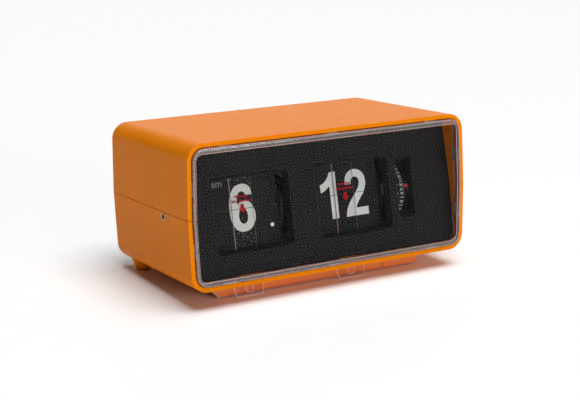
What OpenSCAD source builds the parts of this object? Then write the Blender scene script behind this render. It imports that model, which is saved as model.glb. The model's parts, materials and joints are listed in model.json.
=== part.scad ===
// Flip number clock radio: two split-leaf drums, an alarm wheel and a small motor in a tube-shaped
// case that leans back on its feet. Millimetres. X is right, Y is back and Z is up; the table is Z = 0.
// Everything is drawn square to the case (seam at z = 0, front rim at y = 0), then leaned back.

/* [Case] */
// Width of the case at its seam
case_width = 200; // [180:1:220]
// Depth from the front rim to the back edge
case_depth = 110; // [100:1:120]
// Height of the upper shell above the seam
upper_height = 45; // [42:0.5:50]
// Height of the lower shell below the seam
lower_height = 44.5; // [42:0.5:50]
// Radius of the four long corners
corner_radius = 10.6; // [6:0.1:14]
// How far each side draws in from the seam to the top or bottom
side_draft = 1; // [0:0.1:2]
// Wall thickness of both shells
wall = 2.6; // [2:0.1:3.5]
// Open line between the two shells
seam_gap = 0.3; // [0.1:0.1:0.6]
// How far the case leans back on its feet
lean = 3; // [0:0.5:8]

/* [Feet] */
// Height of the seam above the table at the front rim
seam_height = 56.1; // [54:0.1:60]
// Front face of the plinth, behind the front rim
plinth_front = 18; // [10:0.5:30]
// Thickness of the plinth, front to back
plinth_depth = 14; // [8:0.5:24]
// Half width of the plinth where it meets the case
plinth_top_reach = 80; // [70:1:90]
// Half width of the plinth at the table
plinth_bottom_reach = 71; // [60:1:85]
// Half distance between the rear feet
rear_foot_reach = 86; // [70:1:90]
// Distance of the rear feet from the front rim
rear_foot_y = 99; // [80:1:104]
// Radius of a rear foot where it meets the case
rear_foot_top_radius = 7.4; // [5:0.1:9]
// Radius of a rear foot at the table
rear_foot_bottom_radius = 4.9; // [3:0.1:7]
// Thickness of the non-slip pads
pad_height = 0.8; // [0.5:0.1:2]

/* [Lens] */
// Gap between the lens tray and the case
lens_gap = 0.6; // [0.2:0.1:1]
// Reach of the lens in front of the case's front rim
lens_proud = 1.9; // [0:0.1:3]
// Thickness of the lens plate
lens_thickness = 1.6; // [1:0.1:2.5]
// Bevel around the edge of the lens
lens_bevel = 1.1; // [0.5:0.1:1.4]
// Thickness of the skirt behind the lens
skirt_thickness = 1.2; // [0.8:0.1:2]
// Reach of the skirt behind the front rim
skirt_reach = 5; // [4:0.5:8]
// Width of each clip tab on the skirt
clip_width = 9; // [5:0.5:14]
// Setback of the clip tabs behind the front rim
clip_setback = 0.4; // [0.2:0.1:2]

/* [Front panel] */
// Distance of the panel surface behind the front rim, at the height of the seam
panel_y = 12; // [10:0.1:16]
// How far the panel and the clockwork lean back inside the case
panel_tilt = 9.4; // [0:0.1:15]
// Thickness of the panel
panel_thickness = 2; // [1.5:0.1:3]
// Depth of the window hoods behind the panel surface
hood_depth = 5.5; // [3:0.1:7]
// How far the hoods draw in from their front edge to their back edge
hood_inset = 1.2; // [0.5:0.1:2]
// Corner radius of the windows
window_radius = 3; // [1:0.1:5]
// Chamfer round the front of the windows
window_chamfer = 0.7; // [0.3:0.1:1.2]
// Lower edge of the panel, from its middle
panel_bottom = -39.6; // [-42:0.1:-36]
// Upper edge of the panel, from its middle
panel_top = 40.4; // [36:0.1:42]

/* [Leaves] */
// Width of an hour leaf
hour_leaf_width = 48.2; // [40:0.1:52]
// Width of a minute leaf
minute_leaf_width = 49.2; // [40:0.1:52]
// Length of the swinging leaf from its hinge to its free edge
leaf_length = 19.95; // [15:0.05:24]
// Thickness of a leaf
leaf_thickness = 0.2; // [0.15:0.05:0.4]
// Gap between a hinge line and the face of its leaf
leaf_offset = 0.15; // [0.1:0.05:0.3]
// Part of each leaf that stands below its ears
leaf_heel = 1.2; // [0.5:0.1:2]
// Radius of the circle of leaf ears on a drum
ear_circle = 16.3; // [12:0.1:18]
// Depth of the swinging leaf's hinge behind the panel surface
hinge_depth = 10.7; // [9:0.1:14]
// Height of the swinging leaf's hinge above the middle of the panel
hinge_height = -0.6; // [-3:0.1:3]
// Number of minute leaves on the drum
minute_leaf_count = 60; // [60]
// Number of hour leaves on the drum, two to an hour
hour_leaf_count = 48; // [24,48]
// Outward slope of the waiting leaves from the drum's rim
leaf_slope = 12; // [11:0.5:16]

/* [Drums and gears] */
// Height of the drum shaft above the middle of the panel
shaft_height = -2.5; // [-5:0.1:0]
// Radius of the drum shaft
shaft_radius = 2; // [1.5:0.1:3]
// Running clearance between a shaft and its bearing
bearing_gap = 0.05; // [0.02:0.01:0.1]
// Radius of the drum flanges
flange_radius = 18.9; // [17:0.1:20]
// Thickness of a drum flange
flange_thickness = 1.4; // [1.2:0.1:2]
// Radius of the alarm wheel
alarm_wheel_radius = 21.4; // [18:0.1:24]
// Tooth module of the drive gears
fine_module = 0.6; // [0.6]
// Tooth module of the layshaft gears
coarse_module = 0.7; // [0.7]

/* [Controls] */
// Radius of the alarm setting knob
alarm_knob_radius = 13; // [10:0.5:16]
// Radius of the time setting knob
time_knob_radius = 8.5; // [6:0.5:12]
// Radius of the volume and tuning knobs
radio_knob_radius = 9; // [6:0.5:12]
// Travel of the function slider each way
slider_travel = 4.5; // [3:0.5:6]

/* [Hidden] */
$fn = 48;

half_width = case_width / 2;
corner_steps = 8;
slack = 0.02;
side_reach = 12;
socket_reach = 0.3;
middle_x = (side_reach - socket_reach) / 2;
lens_front_low = lower_height - wall - lens_gap - lens_bevel;
front_reach = max(lower_height * sin(lean), lens_proud * cos(lean) + lens_front_low * sin(lean));
middle_y = (case_depth * cos(lean) + upper_height * sin(lean) - front_reach) / 2;

// Panel, windows and leaves, in the panel's own frame: x, depth behind the panel, height up it
hour_window = [-77, -24, -25.8, 20.5];
minute_window = [-4.4, 49.6, -25.8, 20.5];
alarm_window = [55.8, 67.8, -20.2, 18.1];
alarm_slit = [56.5, 66.7, -15.3, 13.5];
alarm_hood_depth = 13.5;
alarm_radius = 2.2;
alarm_chamfer = 0.5;
hour_leaf_x = -75.1;
minute_leaf_x = -1.7;
ear_reach = 0.6;
pin_radius = 0.2;
heel_angle = asin((hinge_height - shaft_height) / ear_circle);
shaft_depth = hinge_depth + ear_circle * cos(heel_angle);
minute_pitch = 360 / minute_leaf_count;
hour_pitch = 360 / hour_leaf_count;
static_leaf_reach = leaf_length - leaf_heel;
lower_leaf_step = 0.3;

// Gear train
big_teeth = 60;
small_teeth = 10;
lay_teeth = 48;
pinion_teeth = 12;
gear_distance = fine_module * (big_teeth + small_teeth) / 2;
lay_depth = shaft_depth + gear_distance;
motor_angle = 45;
motor_depth = shaft_depth + gear_distance * cos(motor_angle);
motor_height = shaft_height + gear_distance * sin(motor_angle);

// Stations along the shaft
left_plate_x = -79.5;
plate_thickness = 1.4;
hour_plate_x = -24.7;
hour_gear_x = -22.7;
gear_width = 2;
lay_gear_x = -20;
centre_plate_x = -17.2;
motor_x = centre_plate_x + plate_thickness;
motor_length = 6.2;
minute_gear_x = -8.6;
right_plate_x = 50.4;
alarm_wheel_x = 59;
alarm_wheel_width = 7.5;
sleeve_radius = 3.4;
alarm_knob_x = 101;
time_knob_x = 106.6;

// Frames ------------------------------------------------------------------------------------

// The case's own frame, leaned back on the feet and centred on the table
module stand() {
    translate([-middle_x, -middle_y, seam_height]) rotate([-lean, 0, 0]) children();
}

// The panel's and clockwork's frame: x right, y into the clock, z up the panel
module movement() {
    stand() translate([0, panel_y, 0]) rotate([-panel_tilt, 0, 0]) children();
}

// Keeps only what stands above a height over the table
module above_table(height) {
    intersection() {
        children();
        translate([-case_width, -case_depth, height]) cube([2 * case_width, 3 * case_depth, 200]);
    }
}

// Shape helpers -------------------------------------------------------------------------------

module along_x(from, to) {
    translate([from, 0, 0]) rotate([90, 0, 90]) linear_extrude(to - from) children();
}

module along_y(from, to) {
    translate([0, to, 0]) rotate([90, 0, 0]) linear_extrude(to - from) children();
}

module rod_x(from, to, radius, y, z) {
    translate([from, y, z]) rotate([0, 90, 0]) cylinder(h = to - from, r = radius);
}

module rod_y(from, to, radius, x, z) {
    translate([x, to, z]) rotate([90, 0, 0]) cylinder(h = to - from, r = radius);
}

module block(low, high) {
    translate(low) cube(high - low);
}

function corner_arc(x, z, radius, start) = [
    for (i = [0 : corner_steps])
        [x + radius * cos(start + 90 * i / corner_steps), z + radius * sin(start + 90 * i / corner_steps)]
];

// Outline of the case tube, drawn in by an inset
function tube_outline(inset) =
    let (x = half_width - side_draft - corner_radius, radius = corner_radius - inset)
    concat(
        [[half_width - inset, 0]],
        corner_arc(x, upper_height - corner_radius, radius, 0),
        corner_arc(-x, upper_height - corner_radius, radius, 90),
        [[inset - half_width, 0]],
        corner_arc(-x, corner_radius - lower_height, radius, 180),
        corner_arc(x, corner_radius - lower_height, radius, 270)
    );

// Rounded rectangle between left, right, bottom and top, drawn in by an inset
function rounded_box(size, radius, inset) = concat(
    corner_arc(size[1] - radius, size[3] - radius, radius - inset, 0),
    corner_arc(size[0] + radius, size[3] - radius, radius - inset, 90),
    corner_arc(size[0] + radius, size[2] + radius, radius - inset, 180),
    corner_arc(size[1] - radius, size[2] + radius, radius - inset, 270)
);

// Case ------------------------------------------------------------------------------------------

screw_x = 85;
screw_y = 62;
socket_y = 34.2;
socket_z = -3.2;
socket_radius = 2.2;
film_slot = [13.2, 16.8];
shaft_y = panel_y + shaft_depth * cos(panel_tilt) + shaft_height * sin(panel_tilt);
shaft_z = shaft_height * cos(panel_tilt) - shaft_depth * sin(panel_tilt);
volume_y = 80;
volume_z = 18;
tuning_z = -16;
slider_y = 60;
slider_z = 24;
tongue_start = 44;
plate_stations = [left_plate_x, hour_plate_x, centre_plate_x, right_plate_x];

module tube() {
    along_y(0, case_depth) difference() {
        polygon(tube_outline(0));
        polygon(tube_outline(wall));
    }
}

module upper_shell() {
    color("darkorange") stand() {
        difference() {
            tube();
            block([-half_width - 1, -1, -lower_height - 1], [half_width + 1, case_depth + 1, seam_gap / 2]);
            rod_x(half_width - 8, half_width + 2, 3.2, volume_y, volume_z);
            block([half_width - 8, slider_y - slider_travel - 2.6, slider_z - 1.6],
                  [half_width + 2, slider_y + slider_travel + 2.6, slider_z + 1.6]);
        }
        for (side = [-1, 1]) difference() {
            translate([side * screw_x, screw_y, seam_gap / 2])
                cylinder(h = upper_height - wall - seam_gap / 2 + 0.2, r = 3.2);
            translate([side * screw_x, screw_y, 0]) cylinder(h = 16, r = 1.55);
        }
    }
}

module lower_shell() {
    color("darkorange") stand() {
        difference() {
            tube();
            block([-half_width - 1, -1, -seam_gap / 2], [half_width + 1, case_depth + 1, upper_height + 1]);
            rod_x(half_width - 8, half_width + 2, sleeve_radius + 0.4, shaft_y, shaft_z);
            rod_x(half_width - 8, half_width + 2, 3.2, volume_y, tuning_z);
            rod_x(-half_width - 2, 8 - half_width, socket_radius + 0.2, socket_y, socket_z, $fn = 12);
            for (side = [-1, 1]) translate([side * screw_x, screw_y, -lower_height - 1])
                cylinder(h = wall + 2, r = 1.7);
            for (window = [hour_window, minute_window])
                block([(window[0] + window[1]) / 2 - 10.5, film_slot[0], -lower_height - 1],
                      [(window[0] + window[1]) / 2 + 7.5, film_slot[1], -lower_height + wall + 1]);
        }
    }
}

// Posts for the long screws, tongues that lap the seam, and slotted saddles under the frame plates
module case_posts() {
    floor_z = -lower_height + wall + slack;
    color("darkorange") {
        stand() for (side = [-1, 1]) {
            difference() {
                translate([side * screw_x, screw_y, floor_z])
                    cylinder(h = -floor_z - seam_gap / 2, r = 3.2);
                translate([side * screw_x, screw_y, floor_z - 1]) cylinder(h = lower_height, r = 1.7);
            }
            block([side * (half_width - wall - 0.7) - 0.5, tongue_start, -4],
                  [side * (half_width - wall - 0.7) + 0.5, case_depth - 6, 2.5]);
        }
        difference() {
            stand() for (x = plate_stations)
                block([x - 1.6, 24, floor_z], [x + plate_thickness + 1.6, 36, floor_z + 6]);
            movement() for (x = plate_stations)
                block([x - slack, 0, -36 - slack], [x + plate_thickness + slack, 60, 0]);
        }
    }
}

module plinth_bar() {
    along_y(plinth_front, plinth_front + plinth_depth) polygon([
        [-plinth_top_reach, slack - lower_height - slack * 2],
        [plinth_top_reach, slack - lower_height - slack * 2],
        [plinth_bottom_reach, -lower_height - 13],
        [-plinth_bottom_reach, -lower_height - 13]
    ]);
}

module front_plinth() {
    color("peru") above_table(pad_height) stand() difference() {
        plinth_bar();
        block([-66, plinth_front - 1, -lower_height - 9.4], [48, plinth_front + 0.8, -lower_height - 5]);
    }
}

module plinth_pads() {
    color("dimgray") for (side = [-1, 1])
        translate([side * 58 - middle_x, plinth_front + plinth_depth / 2 - 3 - middle_y, 0])
            cylinder(h = pad_height, r = 4);
}

module rear_feet() {
    color("darkorange") above_table(pad_height) stand() for (side = [-1, 1]) difference() {
        translate([side * rear_foot_reach, rear_foot_y, -lower_height - 8])
            cylinder(h = 10, r1 = rear_foot_bottom_radius - 0.5, r2 = rear_foot_top_radius + 0.6);
        along_y(rear_foot_y - 20, rear_foot_y + 20) polygon(tube_outline(-slack));
    }
}

module rear_foot_pads() {
    color("dimgray") for (side = [-1, 1])
        translate([side * rear_foot_reach - middle_x, rear_foot_y - 2.6 - middle_y, 0])
            cylinder(h = pad_height, r = 4.2);
}

module case_screws() {
    color("dimgray") stand() for (side = [-1, 1]) translate([side * screw_x, screw_y, 0]) {
        translate([0, 0, -lower_height - 2.6]) cylinder(h = 2.6 - slack, r = 3);
        translate([0, 0, -lower_height - 1]) cylinder(h = lower_height + 12, r = 1.5);
    }
}

// Lens and panel --------------------------------------------------------------------------------

// Outer face of the skirt at the far end of a side clip
function skirt_side(z) = half_width - wall - lens_gap
    - side_draft * (z + clip_width / 2) / (upper_height - corner_radius);

module lens_clip(x, z, turn) {
    translate([x, 0, z]) rotate([0, turn, 0])
        block([-clip_width / 2, clip_setback, -0.3], [clip_width / 2, skirt_reach, lens_gap - 0.12]);
}

module front_lens() {
    color("lightcyan", 0.4) stand() {
        difference() {
            union() {
                hull() {
                    along_y(-lens_proud, slack - lens_proud)
                        polygon(tube_outline(wall + lens_gap + lens_bevel));
                    along_y(lens_bevel - lens_proud, lens_thickness - lens_proud)
                        polygon(tube_outline(wall + lens_gap));
                }
                along_y(lens_thickness - lens_proud - 0.2, skirt_reach)
                    polygon(tube_outline(wall + lens_gap));
            }
            along_y(lens_thickness - lens_proud, skirt_reach + 1)
                polygon(tube_outline(wall + lens_gap + skirt_thickness));
        }
        for (x = [-74, 0, 74]) {
            lens_clip(x, upper_height - wall - lens_gap - slack, 0);
            lens_clip(x, -lower_height + wall + lens_gap + slack, 180);
        }
        for (side = [-1, 1], z = [-18.8, 18])
            lens_clip(side * skirt_side(abs(z)), z, side * 90);
    }
}

// One window hood behind the panel, open at both ends
module hood(window) {
    along_y(panel_thickness - 0.2, hood_depth)
        polygon(rounded_box(window, window_radius, -1));
}

module hood_hole(window) {
    hull() {
        along_y(-slack, 0) polygon(rounded_box(window, window_radius, -window_chamfer));
        along_y(window_chamfer, window_chamfer + slack) polygon(rounded_box(window, window_radius, 0));
    }
    hull() {
        along_y(window_chamfer, window_chamfer + slack) polygon(rounded_box(window, window_radius, 0));
        along_y(hood_depth, hood_depth + slack) polygon(rounded_box(window, window_radius, hood_inset));
    }
}

// The alarm window's facets close in on the rim of the wheel
module alarm_hole() {
    hull() {
        along_y(-slack, 0) polygon(rounded_box(alarm_window, alarm_radius, -alarm_chamfer));
        along_y(alarm_chamfer, alarm_chamfer + slack) polygon(rounded_box(alarm_window, alarm_radius, 0));
    }
    hull() {
        along_y(alarm_chamfer, alarm_chamfer + slack) polygon(rounded_box(alarm_window, alarm_radius, 0));
        along_y(alarm_hood_depth, alarm_hood_depth + slack) polygon(rounded_box(alarm_slit, alarm_radius / 2, 0));
    }
}

// Turns and shifts the case's frame into the panel's
module case_behind_panel() {
    rotate([panel_tilt, 0, 0]) translate([0, -panel_y, 0]) children();
}

module front_panel() {
    color("#262223") movement() {
        difference() {
            union() {
                intersection() {
                    block([-half_width, 0, panel_bottom], [half_width, panel_thickness, panel_top]);
                    case_behind_panel() along_y(0, 30) polygon(tube_outline(wall + 0.15));
                }
                hood(hour_window);
                hood(minute_window);
                // The alarm hood closes round the rim of the wheel
                difference() {
                    along_y(panel_thickness - 0.2, alarm_hood_depth)
                        polygon(rounded_box(alarm_window, alarm_radius, -1));
                    rod_x(alarm_window[0] - 5, alarm_window[1] + 5, alarm_wheel_radius + 0.4,
                          shaft_depth, shaft_height);
                }
            }
            hood_hole(hour_window);
            hood_hole(minute_window);
            alarm_hole();
        }
    }
}

// Clockwork frame -------------------------------------------------------------------------------

plate_round_depth = 34;
plate_round_radius = 20;
spacer_spots = [[13, 33], [7, -33], [52, -28], [52, 31]];

// Side plate with a rounded front, drilled for the drum shaft and any other holes [y, z, radius]
module frame_plate(x, holes) {
    difference() {
        union() {
            rod_x(x, x + plate_thickness, plate_round_radius, plate_round_depth, shaft_height);
            block([x, 34, -32], [x + plate_thickness, 56, 36]);
            block([x, 9, 26], [x + plate_thickness, 40, 36]);
            block([x, 4, -36], [x + plate_thickness, 38, -29.5]);
        }
        for (hole = holes) rod_x(x - 1, x + plate_thickness + 1, hole[2], hole[0], hole[1]);
        for (spot = spacer_spots) rod_x(x - 1, x + plate_thickness + 1, 1.6, spot[0], spot[1]);
    }
}

module frame_plate_left() {
    color("gainsboro") movement()
        frame_plate(left_plate_x, [[shaft_depth, shaft_height, shaft_radius + bearing_gap]]);
}

module frame_plate_hour() {
    color("gainsboro") movement() frame_plate(hour_plate_x, [
        [shaft_depth, shaft_height, 5.3],
        [lay_depth, shaft_height, 1.5 + bearing_gap]
    ]);
}

module frame_plate_centre() {
    color("gainsboro") movement() frame_plate(centre_plate_x, [
        [shaft_depth, shaft_height, shaft_radius + bearing_gap],
        [lay_depth, shaft_height, 1.5 + bearing_gap],
        [motor_depth, motor_height, 1.2]
    ]);
}

module frame_plate_right() {
    color("gainsboro") movement()
        frame_plate(right_plate_x, [[shaft_depth, shaft_height, shaft_radius + bearing_gap]]);
}

// Rods between the plates, thinner where they pass through one
module frame_spacers() {
    color("silver") movement() for (spot = spacer_spots) {
        rod_x(left_plate_x - 2, right_plate_x + plate_thickness + 2, 1.5, spot[0], spot[1]);
        rod_x(left_plate_x + plate_thickness + slack, hour_plate_x - slack, 2.4, spot[0], spot[1]);
        rod_x(hour_plate_x + plate_thickness + slack, centre_plate_x - slack, 2.4, spot[0], spot[1]);
        rod_x(centre_plate_x + plate_thickness + slack, right_plate_x - slack, 2.4, spot[0], spot[1]);
    }
}

// Spring fingers that hold the standing leaf by its top edge
module leaf_retainers() {
    color("goldenrod") movement() for (x = [-71, -33, 3, 40]) {
        difference() {
            rod_x(x, x + 4, 3.4, 13, 33);
            rod_x(x - 1, x + 5, 2.42, 13, 33);
        }
        block([x, 10.3, 20.1], [x + 4, 10.7, 31.5]);
    }
}

// Shaft and gears -------------------------------------------------------------------------------

// Straight-flanked gear outline with one tooth pointing along +x before it is turned
function gear_outline(teeth, size) = [
    for (i = [0 : teeth - 1], flank = [[-0.6, -1.15], [-0.22, 0.85], [0.22, 0.85], [0.6, -1.15]])
        let (angle = (i + flank[0] * 0.5) * 360 / teeth, radius = size * (teeth / 2 + flank[1]))
        [radius * cos(angle), radius * sin(angle)]
];

module gear(x, width, teeth, size, depth, height, turn, bore) {
    difference() {
        along_x(x, x + width) translate([depth, height]) rotate(turn) polygon(gear_outline(teeth, size));
        rod_x(x - 1, x + width + 1, bore, depth, height);
    }
}

module main_shaft() {
    color("silver") movement()
        rod_x(left_plate_x - 2, time_knob_x + 4, shaft_radius, shaft_depth, shaft_height);
}

// Drum: two flanges with grooves for the leaf ears, on a hub
module drum(x, width, hub_from, hub_to, bore) {
    left = x - 0.4 - flange_thickness;
    right = x + width + 0.4;
    difference() {
        union() {
            rod_x(left, left + flange_thickness, flange_radius, shaft_depth, shaft_height);
            rod_x(right, right + flange_thickness, flange_radius, shaft_depth, shaft_height);
            rod_x(hub_from, hub_to, 5, shaft_depth, shaft_height);
        }
        rod_x(hub_from - 1, hub_to + 1, bore, shaft_depth, shaft_height);
        for (groove = [[left + flange_thickness - 0.5, left + flange_thickness + 1], [right - 1, right + 0.5]])
            difference() {
                rod_x(groove[0], groove[1], 17.1, shaft_depth, shaft_height);
                rod_x(groove[0] - 1, groove[1] + 1, 15.2, shaft_depth, shaft_height);
            }
    }
}

module minute_drum() {
    color("#303030") movement() drum(minute_leaf_x, minute_leaf_width,
        minute_gear_x + gear_width + slack, right_plate_x - 0.4, shaft_radius + slack);
}

module hour_drum() {
    color("#303030") movement() drum(hour_leaf_x, hour_leaf_width,
        left_plate_x + plate_thickness + 0.3, hour_gear_x - slack, shaft_radius + bearing_gap);
}

module minute_gear() {
    color("ivory") movement() gear(minute_gear_x, gear_width, big_teeth, fine_module,
        shaft_depth, shaft_height, motor_angle, shaft_radius + slack);
}

module hour_gear() {
    color("ivory") movement() gear(hour_gear_x, gear_width, big_teeth, fine_module,
        shaft_depth, shaft_height, 0, shaft_radius + bearing_gap);
}

module shaft_pinion() {
    color("ivory") movement() gear(lay_gear_x, gear_width, pinion_teeth, coarse_module,
        shaft_depth, shaft_height, 0, shaft_radius + slack);
}

module lay_shaft() {
    color("silver") movement()
        rod_x(hour_plate_x - 1, centre_plate_x + plate_thickness + 1, 1.5, lay_depth, shaft_height);
}

module lay_gear() {
    color("ivory") movement() gear(lay_gear_x, gear_width, lay_teeth, coarse_module,
        lay_depth, shaft_height, 180 + 180 / lay_teeth, 1.5 + slack);
}

module lay_pinion() {
    color("ivory") movement() gear(hour_gear_x, gear_width, small_teeth, fine_module,
        lay_depth, shaft_height, 180 + 180 / small_teeth, 1.5 + slack);
}

module motor_body() {
    color("silver") movement() difference() {
        rod_x(motor_x + slack, motor_x + motor_length, 12, motor_depth, motor_height);
        rod_x(motor_x - 1, motor_x + motor_length + 1, 1 + bearing_gap, motor_depth, motor_height);
    }
}

module motor_pinion() {
    color("ivory") movement() {
        gear(minute_gear_x, gear_width, small_teeth, fine_module,
            motor_depth, motor_height, motor_angle + 180 + 180 / small_teeth, 0.8);
        rod_x(motor_x + 1, minute_gear_x + gear_width + 0.6, 1, motor_depth, motor_height);
    }
}

module time_knob() {
    color("#303030") movement() {
        difference() {
            rod_x(time_knob_x, half_width + side_reach, time_knob_radius, shaft_depth, shaft_height);
            rod_x(time_knob_x - 1, time_knob_x + 4 + slack, shaft_radius + slack, shaft_depth, shaft_height);
        }
    }
}

// Leaves ----------------------------------------------------------------------------------------

module place_hinge(angle) {
    translate([0, shaft_depth - ear_circle * cos(angle), shaft_height + ear_circle * sin(angle)])
        children();
}

// Thin leaf with an ear at each end, hung from its hinge line
module leaf(x, width, offset, low, high) {
    block([x, offset, low], [x + width, offset + leaf_thickness, high]);
    block([x - ear_reach, offset, -0.4], [x + width + ear_reach, offset + leaf_thickness, 0.4]);
}

// The leaf that falls: its wire pins stand clear of the plate so that it can turn half a circle
module flip_leaf(x, width) {
    translate([0, hinge_depth, hinge_height]) {
        block([x, leaf_offset, 0.05], [x + width, leaf_offset + leaf_thickness, leaf_length]);
        for (end = [[x - ear_reach, x + 1], [x + width - 1, x + width + ear_reach]])
            rod_x(end[0], end[1], pin_radius, 0, 0);
    }
}

// Leaves fanned over the top and back of the drum, then hanging beneath it
module waiting_leaves(x, width, pitch) {
    for (k = [1 : floor((270 - heel_angle) / pitch)]) {
        angle = heel_angle + k * pitch;
        place_hinge(angle) rotate([-min(angle - leaf_slope, 180), 0, 0])
            leaf(x, width, leaf_offset, -leaf_heel, static_leaf_reach);
    }
}

// Leaves that have already fallen, hanging one behind another at the front
module shown_leaves(x, width, pitch) {
    last = 360 / pitch - 1 - floor((270 - heel_angle) / pitch);
    for (k = [1 : last]) {
        angle = heel_angle - k * pitch;
        hinge = shaft_depth - ear_circle * cos(angle);
        offset = max(leaf_offset, hinge_depth + (k - 1) * lower_leaf_step - hinge);
        // The shown leaf closes up to the pins of the leaf above it
        heel = k == 1 ? hinge_height - pin_radius - slack - shaft_height - ear_circle * sin(angle) : leaf_heel;
        place_hinge(angle) leaf(x, width, offset, -static_leaf_reach, heel);
    }
}

module minute_flip_leaf() {
    color("#202020") movement() flip_leaf(minute_leaf_x, minute_leaf_width);
}

module minute_leaves_waiting() {
    color("#202020") movement() waiting_leaves(minute_leaf_x, minute_leaf_width, minute_pitch);
}

module minute_leaves_shown() {
    color("#202020") movement() shown_leaves(minute_leaf_x, minute_leaf_width, minute_pitch);
}

module hour_flip_leaf() {
    color("#202020") movement() flip_leaf(hour_leaf_x, hour_leaf_width);
}

module hour_leaves_waiting() {
    color("#202020") movement() waiting_leaves(hour_leaf_x, hour_leaf_width, hour_pitch);
}

module hour_leaves_shown() {
    color("#202020") movement() shown_leaves(hour_leaf_x, hour_leaf_width, hour_pitch);
}

// Alarm -----------------------------------------------------------------------------------------

module alarm_wheel() {
    color("#303030") movement() difference() {
        rod_x(alarm_wheel_x, alarm_wheel_x + alarm_wheel_width, alarm_wheel_radius, shaft_depth, shaft_height);
        rod_x(alarm_wheel_x - 1, alarm_wheel_x + 3, alarm_wheel_radius - 1.6, shaft_depth, shaft_height);
        rod_x(alarm_wheel_x + 4.5, alarm_wheel_x + 9, alarm_wheel_radius - 1.6, shaft_depth, shaft_height);
        rod_x(alarm_wheel_x, alarm_wheel_x + 9, sleeve_radius + slack, shaft_depth, shaft_height);
    }
}

module alarm_sleeve() {
    color("ivory") movement() difference() {
        rod_x(alarm_wheel_x - 3, alarm_knob_x + 4, sleeve_radius, shaft_depth, shaft_height);
        rod_x(alarm_wheel_x - 4, alarm_knob_x + 6, shaft_radius + bearing_gap, shaft_depth, shaft_height);
    }
}

module alarm_knob() {
    color("#303030") movement() difference() {
        rod_x(alarm_knob_x, alarm_knob_x + 5, alarm_knob_radius, shaft_depth, shaft_height);
        rod_x(alarm_knob_x - 1, alarm_knob_x + 6, sleeve_radius + slack, shaft_depth, shaft_height);
    }
}

module alarm_pointer() {
    color("red") movement()
        block([63.8, 4.3, -1.4], [alarm_window[1] - 0.42, 4.9, 0.1]);
}

// Contact stack that the alarm wheel works from behind
module alarm_switch() {
    color("sienna") movement() {
        block([60, 52.6, -8], [66, 58, 0]);
        for (i = [0 : 1]) block([61 + 2 * i, 50.2 + i, -2], [61.6 + 2 * i, 53, 8]);
    }
}

// Lamp over the windows -----------------------------------------------------------------------

lamp_x = -11.3;
lamp_depth = 8;
lamp_height = 29;

module lamp_holder() {
    color("ivory") movement() rod_x(lamp_x - 4, lamp_x + 3, 2.6, lamp_depth, lamp_height);
}

module lamp_bulb() {
    color("gold", 0.6) movement() rod_x(lamp_x + 3 + slack, lamp_x + 11, 2, lamp_depth, lamp_height);
}

// Transit films and clear strip -------------------------------------------------------------------

film_depth = 10;
film_thickness = 0.15;

// Clear film in front of the leaves, out through the case floor to a holed pull tab
module film(x) {
    along_y(film_depth, film_depth + film_thickness) polygon([
        [x, 26], [x + 15, 26], [x + 15, -45.5], [x + 16.2, -47], [x + 15.3, -54.3],
        [x - 3.5, -54.3], [x - 5.5, -47], [x, -45.5]
    ]);
}

module film_with_hole(x) {
    difference() {
        film(x);
        rod_y(film_depth - 1, film_depth + 1, 2.5, x + 6.1, -49.5);
    }
}

module hour_film() {
    color("lightcyan", 0.4) movement() film_with_hole(-59.5);
}

module minute_film() {
    color("lightcyan", 0.4) movement() film_with_hole(14.5);
}

module clear_strip() {
    color("lightcyan", 0.4) stand() along_y(14.6, 17.4) polygon([
        [-80.4, -lower_height - slack], [-79.9, -lower_height - slack], [-79.2, -lower_height - 3],
        [-73.4, -lower_height - 9.6], [-73.9, -lower_height - 9.9], [-79.6, -lower_height - 3.3]
    ]);
}

// Radio and power -------------------------------------------------------------------------------

rear_panel_y = case_depth - 4.4;
rear_panel_thickness = 2.4;
speaker_x = -48;
speaker_z = 0;
grille_radius = 24.5;
barrel_radius = 1.1;
barrel_length = 12;
hinge_barrels = [16, 66];
door_box = [8, 86, -26, 26];
cell_radius = 7.1;
cell_length = 50;
cell_x = 18;

module rear_panel() {
    color("#303030") stand() difference() {
        along_y(rear_panel_y, rear_panel_y + rear_panel_thickness) polygon(tube_outline(wall + 0.3));
        block([door_box[0], rear_panel_y - 1, door_box[2]], [door_box[1], case_depth, door_box[3]]);
        for (column = [-5 : 5]) {
            reach = sqrt(pow(grille_radius, 2) - pow(4.4 * column, 2));
            block([speaker_x + 4.4 * column - 1.1, rear_panel_y - 1, speaker_z - reach],
                  [speaker_x + 4.4 * column + 1.1, case_depth, speaker_z + reach]);
        }
        for (x = hinge_barrels)
            rod_x(x - 0.3, x + barrel_length + 0.3, barrel_radius + 0.25,
                  rear_panel_y + rear_panel_thickness, door_box[2] + 0.3);
    }
}

module battery_door() {
    color("#303030") stand() {
        block([door_box[0] + 0.3, rear_panel_y + 0.4, door_box[2] + 0.3],
              [door_box[1] - 0.3, rear_panel_y + rear_panel_thickness, door_box[3] - 0.3]);
        for (x = hinge_barrels)
            rod_x(x, x + barrel_length, barrel_radius, rear_panel_y + rear_panel_thickness, door_box[2] + 0.3);
        // Grip ribs under the free edge
        middle = (door_box[0] + door_box[1]) / 2;
        for (rib = [0 : 3])
            block([middle - 11, rear_panel_y + rear_panel_thickness - 0.1, door_box[3] - 5 - 2.2 * rib],
                  [middle + 11, rear_panel_y + rear_panel_thickness + 0.5, door_box[3] - 4 - 2.2 * rib]);
    }
}

module battery_tray() {
    color("#303030") stand() difference() {
        block([cell_x - 6, 86, -24.5], [cell_x + cell_length + 6, 104.6, 24.5]);
        block([cell_x - 4.5, 88, -23], [cell_x + cell_length + 4.5, 106, 23]);
    }
}

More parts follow.
